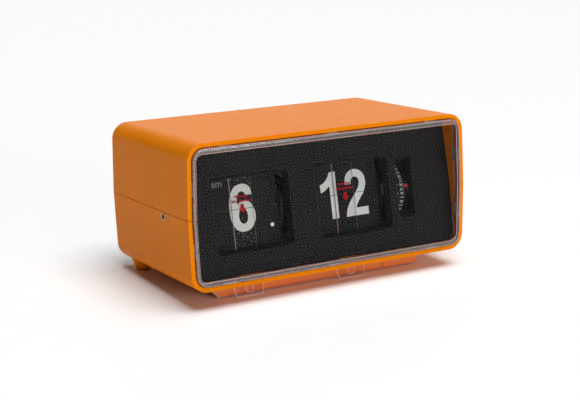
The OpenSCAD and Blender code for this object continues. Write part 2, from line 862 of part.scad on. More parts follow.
module battery_cells() {
    color("steelblue") stand() for (row = [-1 : 1]) {
        rod_x(cell_x, cell_x + cell_length, cell_radius, 95.6, 15 * row);
        rod_x(cell_x + cell_length - 1, cell_x + cell_length + 1.2, 2.6, 95.6, 15 * row);
    }
}

module battery_contacts() {
    color("silver") stand() for (row = [-1 : 1]) {
        block([cell_x - 1.4, 91, 15 * row - 5], [cell_x - slack, 100, 15 * row + 5]);
        block([cell_x + cell_length + 1.2 + slack, 91, 15 * row - 5],
              [cell_x + cell_length + 1.8, 100, 15 * row + 5]);
    }
}

board_x = 90.5;

module circuit_board() {
    color("darkgreen") stand() block([board_x, 50, -32], [board_x + 1.5, 102, 32]);
}

// Components on the inner face of the board, and the bodies of the controls on it
module board_parts() {
    color("dimgray") stand() {
        for (z = [volume_z, tuning_z])
            block([board_x - 9, volume_y - 8, z - 8], [board_x - slack, volume_y + 8, z + 8]);
        block([board_x - 2, slider_y - 8, slider_z - 3.5], [board_x - slack, slider_y + 8, slider_z + 3.5]);
        for (i = [0 : 3]) translate([board_x - 8, 96, -27 + 13 * i]) rotate([0, 90, 0])
            cylinder(h = 8 - slack, r = 3);
        block([board_x - 3, 68, -31], [board_x - slack, 84, -26]);
    }
}

module control_knob(z) {
    rod_x(half_width + 0.6, half_width + 8, radio_knob_radius, volume_y, z);
    rod_x(board_x + 1.5 + slack, half_width + 1, 3, volume_y, z);
}

module volume_knob() {
    color("#303030") stand() difference() {
        control_knob(volume_z);
        block([half_width + 7.2, volume_y - 0.5, volume_z], [half_width + 9, volume_y + 0.5, volume_z + 10]);
    }
}

module tuning_knob() {
    color("#303030") stand() difference() {
        control_knob(tuning_z);
        block([half_width + 7.2, volume_y - 0.5, tuning_z], [half_width + 9, volume_y + 0.5, tuning_z + 10]);
    }
}

module function_slider() {
    color("#303030") stand() {
        block([board_x + 1.5 + slack, slider_y - 1.5, slider_z - 1.2], [half_width + 3, slider_y + 1.5, slider_z + 1.2]);
        block([half_width + 0.6, slider_y - 2.4, slider_z - 2.4], [half_width + 3, slider_y + 2.4, slider_z + 2.4]);
    }
}

module ferrite_rod() {
    color("#303030") stand() rod_x(-70, -10, 4, 84, 34);
}

module ferrite_coil() {
    color("sandybrown") stand() difference() {
        rod_x(-56, -34, 4.8, 84, 34);
        rod_x(-57, -33, 4 + slack, 84, 34);
    }
}

module speaker_frame() {
    color("silver") stand() {
        difference() {
            rod_y(rear_panel_y - 3, rear_panel_y - slack, 28.5, speaker_x, speaker_z);
            rod_y(rear_panel_y - 4, rear_panel_y + 1, 25.5, speaker_x, speaker_z);
        }
        difference() {
            rod_y(rear_panel_y - 12, rear_panel_y - 2.9, 26.8, speaker_x, speaker_z);
            rod_y(rear_panel_y - 10.5, rear_panel_y + 1, 25.5, speaker_x, speaker_z);
        }
        rod_y(rear_panel_y - 19, rear_panel_y - 11.9, 14, speaker_x, speaker_z);
    }
}

module speaker_cone() {
    color("#303030") stand() translate([speaker_x, rear_panel_y - 2, speaker_z]) rotate([90, 0, 0])
        difference() {
            cylinder(h = 7.5, r1 = 24.5, r2 = 8);
            translate([0, 0, -0.6]) cylinder(h = 7.5, r1 = 24.5, r2 = 8);
        }
}

// Earphone socket in the left side: a metal collar with a plug bore
module earphone_socket() {
    color("silver") stand() difference() {
        union() {
            rod_x(-half_width - socket_reach, -half_width + 9, socket_radius, socket_y, socket_z);
            rod_x(-half_width + wall + 0.2, -half_width + 12, 3.6, socket_y, socket_z);
        }
        rod_x(-half_width - 1, -half_width + 11, 1.8, socket_y, socket_z);
    }
}

// Output ------------------------------------------------------------------------------------------

upper_shell();
lower_shell();
case_posts();
front_plinth();
plinth_pads();
rear_feet();
rear_foot_pads();
case_screws();
front_lens();
front_panel();
rear_panel();
battery_door();
battery_tray();
battery_cells();
battery_contacts();
frame_plate_left();
frame_plate_hour();
frame_plate_centre();
frame_plate_right();
frame_spacers();
leaf_retainers();
main_shaft();
minute_drum();
minute_gear();
shaft_pinion();
time_knob();
minute_flip_leaf();
minute_leaves_waiting();
minute_leaves_shown();
hour_drum();
hour_gear();
hour_flip_leaf();
hour_leaves_waiting();
hour_leaves_shown();
lay_shaft();
lay_gear();
lay_pinion();
motor_body();
motor_pinion();
alarm_wheel();
alarm_sleeve();
alarm_knob();
alarm_pointer();
alarm_switch();
lamp_holder();
lamp_bulb();
circuit_board();
board_parts();
volume_knob();
tuning_knob();
function_slider();
ferrite_rod();
ferrite_coil();
speaker_frame();
speaker_cone();
earphone_socket();
hour_film();
minute_film();
clear_strip();
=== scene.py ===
"""Looks for the flip number clock: studio, materials, printed leaves and detailed pieces."""

import json
import math
import random

import bmesh
import bpy
from mathutils import Matrix, Vector


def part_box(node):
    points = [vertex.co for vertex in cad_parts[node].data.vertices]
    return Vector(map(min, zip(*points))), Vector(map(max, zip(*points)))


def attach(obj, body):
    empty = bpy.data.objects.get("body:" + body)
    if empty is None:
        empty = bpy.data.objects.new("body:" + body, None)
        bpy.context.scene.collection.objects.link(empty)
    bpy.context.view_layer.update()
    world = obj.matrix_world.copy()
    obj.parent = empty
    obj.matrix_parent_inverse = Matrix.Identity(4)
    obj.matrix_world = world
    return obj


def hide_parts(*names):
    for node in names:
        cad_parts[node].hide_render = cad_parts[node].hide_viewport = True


MM = 0.001
random.seed(7)
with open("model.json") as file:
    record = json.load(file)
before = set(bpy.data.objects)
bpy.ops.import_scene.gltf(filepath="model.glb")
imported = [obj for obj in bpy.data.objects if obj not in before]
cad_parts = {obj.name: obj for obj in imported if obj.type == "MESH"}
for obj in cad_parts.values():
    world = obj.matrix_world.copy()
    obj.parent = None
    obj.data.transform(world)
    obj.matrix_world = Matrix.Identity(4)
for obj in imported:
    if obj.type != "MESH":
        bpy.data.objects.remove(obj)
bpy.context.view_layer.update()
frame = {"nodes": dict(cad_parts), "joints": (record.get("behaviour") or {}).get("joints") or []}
NODES = frame["nodes"]
JOINTS = {joint["name"]: joint for joint in frame["joints"]}

# Frames of the case and of the panel ---------------------------------------------------------

# The case leans back and the panel leans further. In both frames X runs to the right, Y into the
# clock and Z up the leaning face. Lengths are in millimetres.
LEAN = math.radians(3)
PANEL_TILT = math.radians(9.4)
PANEL_SETBACK = 12
# The leaves' hinge line and the drum shaft in the panel's frame
HINGE_DEPTH = 10.7
HINGE_HEIGHT = -0.6
SHAFT_HEIGHT = -2.5
# Radius of the circle of the leaves' ears round the shaft
EAR_CIRCLE = 16.3
LEAF_GAP = 0.15
LEAF_THICKNESS = 0.2
ALARM_WHEEL_RADIUS = 21.4

panel_low, panel_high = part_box("front_panel")
hinge = Vector(JOINTS["minute_leaf_flip"]["pos_m"])
hinge.x = (panel_low.x + panel_high.x) / 2
PANEL_TURN = Matrix.Rotation(-(LEAN + PANEL_TILT), 4, "X")
PANEL_ORIGIN = Matrix.Translation((0, -HINGE_DEPTH * MM, -HINGE_HEIGHT * MM))
PANEL = Matrix.Translation(hinge) @ PANEL_TURN @ PANEL_ORIGIN
HEEL_ANGLE = math.asin((HINGE_HEIGHT - SHAFT_HEIGHT) / EAR_CIRCLE)
SHAFT_DEPTH = HINGE_DEPTH + EAR_CIRCLE * math.cos(HEEL_ANGLE)
CASE = PANEL @ Matrix.Rotation(PANEL_TILT, 4, "X") @ Matrix.Translation((0, -PANEL_SETBACK * MM, 0))


def on_panel(x, depth, height, turn=None):
    """Matrix at a point of the panel's frame in millimetres, with an extra turn."""
    spot = PANEL @ Matrix.Translation((x * MM, depth * MM, height * MM))
    return spot @ turn if turn else spot


# Material nodes ------------------------------------------------------------------------------


def linear(red, green, blue):
    """Colour given as 0 to 255 on screen, as linear light."""
    def channel(value):
        value = value / 255
        return value / 12.92 if value <= 0.04045 else ((value + 0.055) / 1.055) ** 2.4
    return (channel(red), channel(green), channel(blue), 1)


def shade(colour, factor):
    """The colour made darker or lighter by a factor."""
    return (colour[0] * factor, colour[1] * factor, colour[2] * factor, 1)


class Shader:
    """Small builder for a material's nodes."""

    def __init__(self, name):
        self.material = bpy.data.materials.new(name)
        self.material.use_nodes = True
        self.tree = self.material.node_tree
        self.bsdf = self.tree.nodes["Principled BSDF"]
        self.output = self.tree.nodes["Material Output"]
        self.coordinates = self.tree.nodes.new("ShaderNodeTexCoord").outputs["Object"]

    def add(self, kind, **values):
        node = self.tree.nodes.new(kind)
        for key, value in values.items():
            if key in node.inputs:
                node.inputs[key].default_value = value
            else:
                setattr(node, key, value)
        return node

    def link(self, source, target):
        self.tree.links.new(source, target)

    def noise(self, size, detail=3.0, roughness=0.5, stretch=(1, 1, 1)):
        """Noise whose features are about size millimetres across."""
        mapping = self.add("ShaderNodeMapping")
        mapping.inputs["Scale"].default_value = stretch
        self.link(self.coordinates, mapping.inputs["Vector"])
        noise = self.add("ShaderNodeTexNoise", Scale=1 / (size * MM), Detail=detail, Roughness=roughness)
        self.link(mapping.outputs["Vector"], noise.inputs["Vector"])
        return noise.outputs["Fac"]

    def ramp(self, source, low, high):
        """Colour that goes from low to high over the middle of the noise's range."""
        ramp = self.add("ShaderNodeValToRGB")
        for element, position, colour in zip(ramp.color_ramp.elements, (0.35, 0.65), (low, high)):
            element.position = position
            element.color = colour
        self.link(source, ramp.inputs["Fac"])
        return ramp.outputs["Color"]

    def spread(self, source, low, high):
        """Value that goes from low to high over the middle of the noise's range."""
        mapping = self.add("ShaderNodeMapRange")
        mapping.inputs["From Min"].default_value = 0.3
        mapping.inputs["From Max"].default_value = 0.7
        mapping.inputs["To Min"].default_value = low
        mapping.inputs["To Max"].default_value = high
        self.link(source, mapping.inputs["Value"])
        return mapping.outputs["Result"]

    def bump(self, source, height):
        """Relief of a height in millimetres."""
        bump = self.add("ShaderNodeBump", Strength=1.0, Distance=height * MM)
        self.link(source, bump.inputs["Height"])
        self.link(bump.outputs["Normal"], self.bsdf.inputs["Normal"])


def see_through_ink(name, colour, cover):
    """Ink on clear film that tints what lies behind it."""
    s = Shader(name)
    s.tree.nodes.remove(s.bsdf)
    through = s.add("ShaderNodeBsdfTransparent", Color=(0.9, colour[1] + 0.06, colour[2] + 0.07, 1))
    film = s.add("ShaderNodeBsdfDiffuse")
    s.link(s.ramp(s.noise(1.2, 3), shade(colour, 0.9), shade(colour, 1.05)), film.inputs["Color"])
    mix = s.add("ShaderNodeMixShader", Fac=cover)
    s.link(through.outputs["BSDF"], mix.inputs[1])
    s.link(film.outputs["BSDF"], mix.inputs[2])
    s.link(mix.outputs["Shader"], s.output.inputs["Surface"])
    return s.material


def moulded(name, colour, rough=(0.28, 0.36), mottle=0.04, grain=0.6, grain_height=0.01, sheen=0.5):
    """Moulded plastic: faint colour drift, uneven gloss and a fine grain."""
    s = Shader(name)
    drift = s.noise(25, 2)
    s.link(s.ramp(drift, shade(colour, 1 - mottle), shade(colour, 1 + mottle)), s.bsdf.inputs["Base Color"])
    s.link(s.spread(s.noise(6, 4), *rough), s.bsdf.inputs["Roughness"])
    s.bump(s.noise(grain, 2), grain_height)
    s.bsdf.inputs["Specular IOR Level"].default_value = sheen
    return s.material


def metal(name, colour, rough=(0.25, 0.4), brushed=(1, 1, 12)):
    """Bare metal with drawn or brushed streaks."""
    s = Shader(name)
    streaks = s.noise(1.2, 4, 0.6, brushed)
    s.link(s.ramp(streaks, shade(colour, 0.85), shade(colour, 1.08)), s.bsdf.inputs["Base Color"])
    s.link(s.spread(streaks, *rough), s.bsdf.inputs["Roughness"])
    s.bsdf.inputs["Metallic"].default_value = 1.0
    s.bump(streaks, 0.004)
    return s.material


def clear(name, tint, rough, index):
    """Thin clear sheet: light passes straight through and the surface keeps some gloss."""
    s = Shader(name)
    s.tree.nodes.remove(s.bsdf)
    through = s.add("ShaderNodeBsdfTransparent", Color=tint)
    shine = s.add("ShaderNodeBsdfGlossy", Color=(1, 1, 1, 1), Roughness=rough)
    fresnel = s.add("ShaderNodeFresnel", IOR=index)
    mix = s.add("ShaderNodeMixShader")
    s.link(fresnel.outputs["Fac"], mix.inputs["Fac"])
    s.link(through.outputs["BSDF"], mix.inputs[1])
    s.link(shine.outputs["BSDF"], mix.inputs[2])
    s.link(mix.outputs["Shader"], s.output.inputs["Surface"])
    return s.material


def cast_clear(name, colour, rough=0.02, haze=0.12):
    """Thick clear plastic that bends light at its bevels and edges."""
    s = Shader(name)
    s.link(s.ramp(s.noise(8, 2), shade(colour, 0.96), colour), s.bsdf.inputs["Base Color"])
    s.link(s.spread(s.noise(3, 3), rough, rough * 3), s.bsdf.inputs["Roughness"])
    s.bsdf.inputs["Transmission Weight"].default_value = 1 - haze
    s.bsdf.inputs["IOR"].default_value = 1.49
    return s.material


def printed(name, colour, rough=0.55):
    """Screen-printed ink with a slightly uneven film."""
    s = Shader(name)
    s.link(s.ramp(s.noise(1.5, 3), shade(colour, 0.94), shade(colour, 1.04)), s.bsdf.inputs["Base Color"])
    s.bsdf.inputs["Roughness"].default_value = rough
    s.bump(s.noise(0.3, 2), 0.004)
    return s.material


ORANGE = moulded("orange_shell", linear(232, 129, 0), (0.30, 0.36), 0.02, 0.5, 0.0008, sheen=0.03)
# Paler, pinker copy of the case orange: painted light and a pinkish painted sheen on the plinth, which sits
# in shade under the case.
PLINTH_ORANGE_PAINTED_LIGHT = moulded("orange_plinth_painted_light", linear(232, 132, 72), (0.32, 0.40), 0.02, 0.5, 0.001, sheen=0.2)
PANEL_BLACK = moulded("panel_black", linear(24, 21, 22), (0.5, 0.6), 0.05, 0.5, 0.0008, sheen=0.1)
# Lighter, glossier copy of the panel black for its rounded window edges: a painted glint.
PANEL_EDGE_PAINTED_GLINT = moulded("panel_edge_painted_glint", linear(88, 85, 85), (0.25, 0.35), 0.03, 0.5, 0.0008, sheen=0.6)
REAR_BLACK = moulded("rear_black", linear(46, 45, 45), (0.42, 0.55), 0.06, 0.35, 0.012, sheen=0.45)
KNOB_BLACK = moulded("knob_black", linear(38, 37, 37), (0.35, 0.5), 0.05, 0.5, 0.01)
LEAF_BLACK = moulded("leaf_black", linear(23, 24, 24), (0.5, 0.6), 0.04, 0.5, 0.0008, sheen=0.12)
NYLON = moulded("natural_nylon", linear(214, 206, 184), (0.45, 0.6), 0.04, 0.6, 0.01)
RUBBER = moulded("pad_rubber", linear(48, 48, 50), (0.75, 0.9), 0.08, 0.4, 0.02, sheen=0.3)
BOARD = moulded("board_green", linear(38, 92, 52), (0.3, 0.45), 0.08, 0.8, 0.01)
CELL = moulded("cell_sleeve", linear(60, 92, 130), (0.25, 0.35), 0.04, 0.6, 0.006)
CONE = moulded("cone_pulp", linear(44, 42, 40), (0.85, 0.95), 0.15, 0.5, 0.05, sheen=0.2)
FERRITE = moulded("ferrite", linear(52, 52, 56), (0.6, 0.75), 0.1, 0.5, 0.02, sheen=0.3)
STEEL = metal("drawn_steel", linear(196, 198, 200))
DARK_STEEL = metal("blackened_steel", linear(32, 32, 33), (0.5, 0.65))
PLATED = metal("bright_plating", linear(222, 224, 226), (0.08, 0.16), (1, 1, 2))
SPRING = metal("spring_brass", linear(206, 172, 96))
COPPER = metal("enamelled_copper", linear(176, 98, 52), (0.25, 0.4), (12, 1, 1))
LENS = clear("lens_clear", (0.97, 0.97, 0.97, 1), 0.04, 1.12)
# Tinted clear plastics for the lens rim. The pale pink of the bevel and of the flat border is a painted
# reflection of the orange case.
LENS_BEVEL_PAINTED_REFLECTION = cast_clear("lens_bevel", (0.97, 0.82, 0.80, 1), 0.05, 0.24)
LENS_BORDER_PAINTED_REFLECTION = cast_clear("lens_border_painted_reflection", (0.96, 0.88, 0.88, 1), 0.03, 0.04)
# The orange-red of the rim's outer wall and inner lip is the case's orange painted in as a reflection seen
# through the clear rim.
LENS_WALL_PAINTED_ORANGE = cast_clear("lens_wall_painted_orange", (0.90, 0.34, 0.22, 1), 0.06, 0.32)
LENS_LIP_PAINTED_ORANGE = cast_clear("lens_lip_painted_orange", (0.95, 0.58, 0.50, 1), 0.06, 0.38)
LENS_CLIP = cast_clear("lens_clip", (0.93, 0.90, 0.90, 1), 0.1, 0.3)
FILM = clear("film_clear", (0.985, 0.975, 0.975, 1), 0.04, 1.06)
BULB = clear("bulb_glass", (0.98, 0.93, 0.80, 1), 0.02, 1.45)
DIGIT = printed("digit_white", linear(226, 230, 226))
DIM_MARK = printed("mark_grey", linear(122, 122, 122))
RED = printed("signal_red", linear(196, 22, 28), 0.4)
FILM_INK = see_through_ink("film_ink", linear(205, 26, 40), 0.88)
# Strips on the clear films' edges: the near edge is a painted glint, the far edge a fainter painted glint,
# and the pull tab's edges a pale painted glint.
FILM_EDGE_PAINTED_GLINT = printed("film_edge_painted_glint", linear(150, 104, 104), 0.3)
FILM_FAR_EDGE_PAINTED_GLINT = printed("film_far_edge_painted_glint", linear(62, 52, 52), 0.3)
FILM_TAB_EDGE_PAINTED_GLINT = printed("film_tab_edge_painted_glint", linear(222, 190, 184), 0.3)
# The digits' white ink made lighter for the dot: painted light on the dot, which sits in shade on the lower
# leaf.
DOT_PAINTED_BRIGHT = printed("dot_white_painted_bright", linear(250, 252, 250))

NODE_MATERIALS = {
    ORANGE: ["upper_shell", "lower_shell", "case_posts", "rear_feet"],
    PLINTH_ORANGE_PAINTED_LIGHT: ["front_plinth"],
    PANEL_BLACK: ["front_panel"],
    REAR_BLACK: ["rear_panel", "battery_door", "battery_tray"],
    KNOB_BLACK: ["minute_drum", "hour_drum", "alarm_knob", "time_knob", "volume_knob",
                 "tuning_knob", "function_slider", "board_parts"],
    LEAF_BLACK: ["alarm_wheel", "hour_gear", "minute_gear",
                 "minute_flip_leaf", "minute_leaves_waiting", "minute_leaves_shown",
                 "hour_flip_leaf", "hour_leaves_waiting", "hour_leaves_shown"],
    NYLON: ["shaft_pinion", "lay_gear", "lay_pinion", "motor_pinion", "alarm_sleeve", "lamp_holder"],
    RUBBER: ["plinth_pads", "rear_foot_pads"],
    BOARD: ["circuit_board"],
    CELL: ["battery_cells"],
    CONE: ["speaker_cone"],
    FERRITE: ["ferrite_rod"],
    STEEL: ["case_screws", "frame_spacers", "main_shaft", "lay_shaft", "motor_body", "speaker_frame"],
    DARK_STEEL: ["frame_plate_left", "frame_plate_hour", "frame_plate_centre", "frame_plate_right"],
    PLATED: ["earphone_socket"],
    SPRING: ["battery_contacts", "leaf_retainers", "alarm_switch"],
    COPPER: ["ferrite_coil"],
    LENS: ["front_lens"],
    FILM: ["hour_film", "minute_film"],
    LENS_CLIP: ["clear_strip"],
    BULB: ["lamp_bulb"],
    RED: ["alarm_pointer"],
}

# Edges: angles in degrees, and the rounding of each node in millimetres
SHARP_ANGLE = 32
FLAT_ANGLE = 0.6
BEVEL_SEGMENTS = 3
SMOOTH_ANGLE = 30
WELD_REACH = 0.001 * MM
SAME_POINT = 0.0001 * MM
EDGE_RADII = {
    "upper_shell": 1.1, "lower_shell": 1.1, "front_plinth": 0.2, "rear_feet": 0.5, "front_panel": 0.6,
    "rear_panel": 0.3, "battery_door": 0.35, "alarm_knob": 0.8, "time_knob": 0.8, "volume_knob": 0.8,
    "tuning_knob": 0.8, "function_slider": 0.4, "front_lens": 0.12, "earphone_socket": 0.15,
    "plinth_pads": 0.2, "rear_foot_pads": 0.2, "case_screws": 0.4, "alarm_wheel": 0.2,
}


def dress_cad_nodes():
    """Gives every CAD node its material, and softened edges where they show; the panel's rounded edges get
    a lighter grey that paints a glint along them.
    """
    for material, names in NODE_MATERIALS.items():
        for name in names:
            node = NODES[name]
            node.data.materials.clear()
            node.data.materials.append(material)
            for polygon in node.data.polygons:
                polygon.material_index = 0
    # The panel's bevels get the lighter grey, a painted glint along the window edges.
    NODES["front_panel"].data.materials.append(PANEL_EDGE_PAINTED_GLINT)
    for name, radius in EDGE_RADII.items():
        soften(NODES[name], radius)
    NODES["front_panel"].modifiers["bevel"].material = 1


def soften(node, radius):
    """Rounds a node's sharp edges by a radius in millimetres."""
    weld = node.modifiers.new("weld", "WELD")
    weld.merge_threshold = WELD_REACH
    flat = node.modifiers.new("flat", "DECIMATE")
    flat.decimate_type = "DISSOLVE"
    flat.angle_limit = math.radians(FLAT_ANGLE)
    bevel = node.modifiers.new("bevel", "BEVEL")
    bevel.width = radius * MM
    bevel.segments = BEVEL_SEGMENTS
    bevel.limit_method = "ANGLE"
    bevel.angle_limit = math.radians(SHARP_ANGLE)
    bevel.use_clamp_overlap = True
    bevel.harden_normals = False
    normals = node.modifiers.new("normals", "WEIGHTED_NORMAL")
    normals.keep_sharp = True


# Lens ------------------------------------------------------------------------------------------

# Outline of the case at its rim, in the case's frame
HALF_WIDTH = 100
TOP_HEIGHT = 45
BOTTOM_HEIGHT = 44.5
CORNER_RADIUS = 10.6
SIDE_DRAFT = 1
# Insets of the lens from that outline, and depths behind the rim
LENS_OUTER = 3.2
LENS_BEVEL = 1.1
LENS_FRONT = -1.9
LENS_BACK = -0.3
LENS_RIM = 6.4
LENS_LIP_WIDTH = 0.5
LENS_SIDE_SHIFT = 1.4
SKIRT_INNER = 4.3
SKIRT_END = 5
# Clip tabs: three above, three below and two at each side
CLIP_WIDTH = 9
CLIP_SETBACK = 0.4
CLIP_DEPTH_IN = 1.1
CLIP_DEPTH_OUT = 0.46
CLIP_ROUNDING = 0.25
CLIPS_ACROSS = (-74, 0, 74)
CLIPS_UP_THE_SIDES = (-18.8, 18)
CLIP_SIDE_SETBACK = 0.65
BEVEL_STEPS = 6
PLATE_OVERLAP = 0.02


def tube_outline(inset, steps=10):
    """Rounded outline of the case in millimetres, drawn in by an inset."""
    outline = []
    corner_x = HALF_WIDTH - SIDE_DRAFT - CORNER_RADIUS
    radius = CORNER_RADIUS - inset
    corners = ((corner_x, TOP_HEIGHT - CORNER_RADIUS), (-corner_x, TOP_HEIGHT - CORNER_RADIUS),
               (-corner_x, CORNER_RADIUS - BOTTOM_HEIGHT), (corner_x, CORNER_RADIUS - BOTTOM_HEIGHT))
    for quarter, (x, z) in enumerate(corners):
        if quarter % 2 == 0:
            outline.append(((HALF_WIDTH - inset) * (1 - quarter), 0))
        for i in range(steps + 1):
            angle = math.pi / 2 * (quarter + i / steps)
            outline.append((x + radius * math.cos(angle), z + radius * math.sin(angle)))
    return outline


def lens_outline(inset):
    """Outline of the lens, whose flat border is narrower at the sides than above and below."""
    border = inset - LENS_OUTER - LENS_BEVEL
    shift = LENS_SIDE_SHIFT * max(0, border) / (LENS_RIM - LENS_OUTER - LENS_BEVEL)
    return [(x + math.copysign(shift, x), z) for x, z in tube_outline(inset)]


def swept_ring(name, profile):
    """Closed ring with the given profile of insets and depths swept round the lens outline."""
    bm = bmesh.new()
    rings = []
    for inset, depth in profile:
        rings.append([bm.verts.new((x * MM, depth * MM, z * MM)) for x, z in lens_outline(inset)])
    count = len(rings[0])
    for a, b in zip(rings, rings[1:] + rings[:1]):
        for i in range(count):
            j = (i + 1) % count
            bm.faces.new((a[i], a[j], b[j], b[i]))
    bmesh.ops.recalc_face_normals(bm, faces=bm.faces)
    mesh = bpy.data.meshes.new(name)
    bm.to_mesh(mesh)
    bm.free()
    return mesh


def lens_profile():
    """Insets and depths round the lens's rim: flat front, round bevel, skirt and back."""
    profile = [
        (LENS_RIM, LENS_FRONT),
        (LENS_RIM - LENS_LIP_WIDTH, LENS_FRONT),
        (LENS_OUTER + LENS_BEVEL, LENS_FRONT),
    ]
    for i in range(1, BEVEL_STEPS + 1):
        angle = math.pi / 2 * i / BEVEL_STEPS
        inset = LENS_OUTER + LENS_BEVEL * (1 - math.sin(angle))
        profile.append((inset, LENS_FRONT + LENS_BEVEL * (1 - math.cos(angle))))
    profile += [
        (LENS_OUTER, SKIRT_END),
        (SKIRT_INNER, SKIRT_END),
        (SKIRT_INNER, LENS_BACK),
        (LENS_RIM, LENS_BACK),
    ]
    return profile


def lens_clip_tabs():
    """Tabs above, below and at both sides of the lens, as one mesh."""
    tabs = []
    for x in CLIPS_ACROSS:
        tabs.append(clip_tab(x, TOP_HEIGHT - LENS_OUTER, 0))
        tabs.append(clip_tab(x, LENS_OUTER - BOTTOM_HEIGHT, 180))
    for side in (-1, 1):
        for z in CLIPS_UP_THE_SIDES:
            tabs.append(clip_tab(side * (HALF_WIDTH - LENS_OUTER - CLIP_SIDE_SETBACK), z, side * 90))
    return join_meshes("lens_clips", tabs)


def make_lens():
    """Clear plate inside a thick bevelled rim with a skirt, and clip tabs round the skirt."""
    rim = swept_ring("lens_rim", lens_profile())
    ring = piece("lens_rim", rim, LENS_BEVEL_PAINTED_REFLECTION, CASE, "case")
    bevel, border, lip, wall = range(4)
    # The rim's strips get tinted clear materials whose pink and orange-red are painted reflections of the
    # orange case.
    for material in (LENS_BORDER_PAINTED_REFLECTION, LENS_LIP_PAINTED_ORANGE, LENS_WALL_PAINTED_ORANGE):
        ring.data.materials.append(material)
    # The strips run from the lip and the flat border over the bevel to the outer wall
    strips = [lip, border] + [bevel] * BEVEL_STEPS + [wall]
    around = len(tube_outline(0))
    for polygon in ring.data.polygons:
        strip = polygon.index // around
        polygon.material_index = strips[strip] if strip < len(strips) else border
    smooth_by_angle(ring)
    plate_mesh = filled("lens_plate", [lens_outline(LENS_RIM + PLATE_OVERLAP)], LENS_BACK - LENS_FRONT)
    plate_place = CASE @ Matrix.Translation((0, (LENS_FRONT + LENS_BACK) / 2 * MM, 0))
    plate = piece("lens_plate", plate_mesh, LENS, plate_place, "case")
    tabs = piece("lens_clips", lens_clip_tabs(), LENS_CLIP, CASE, "case")
    for part in (ring, plate, tabs):
        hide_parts("front_lens")


def clip_tab(x, z, turn):
    """Small rounded tab that stands out of the skirt, turned by an angle in degrees."""
    bm = bmesh.new()
    bmesh.ops.create_cube(bm, size=1)
    low = Vector((-CLIP_WIDTH / 2, CLIP_SETBACK, -CLIP_DEPTH_IN))
    high = Vector((CLIP_WIDTH / 2, SKIRT_END, CLIP_DEPTH_OUT))
    for vert in bm.verts:
        vert.co = Vector(low[i] + (vert.co[i] + 0.5) * (high[i] - low[i]) for i in range(3)) * MM
    rounding = CLIP_ROUNDING * MM
    bmesh.ops.bevel(bm, geom=bm.edges[:], offset=rounding, segments=2, affect="EDGES", profile=0.5)
    mesh = bpy.data.meshes.new("tab")
    bm.to_mesh(mesh)
    bm.free()
    place = Matrix.Translation((x * MM, 0, z * MM))
    mesh.transform(place @ Matrix.Rotation(math.radians(turn), 4, "Y"))
    return mesh


def smooth_by_angle(thing):
    """Smooth shading that stops at a piece's sharp edges."""
    for polygon in thing.data.polygons:
        polygon.use_smooth = True
    edge_angles = bmesh.new()
    edge_angles.from_mesh(thing.data)
    for edge in edge_angles.edges:
        shallow = edge.calc_face_angle(0) < math.radians(SMOOTH_ANGLE)
        edge.smooth = len(edge.link_faces) == 2 and shallow
    edge_angles.to_mesh(thing.data)
    edge_angles.free()


# Printed digits --------------------------------------------------------------------------------

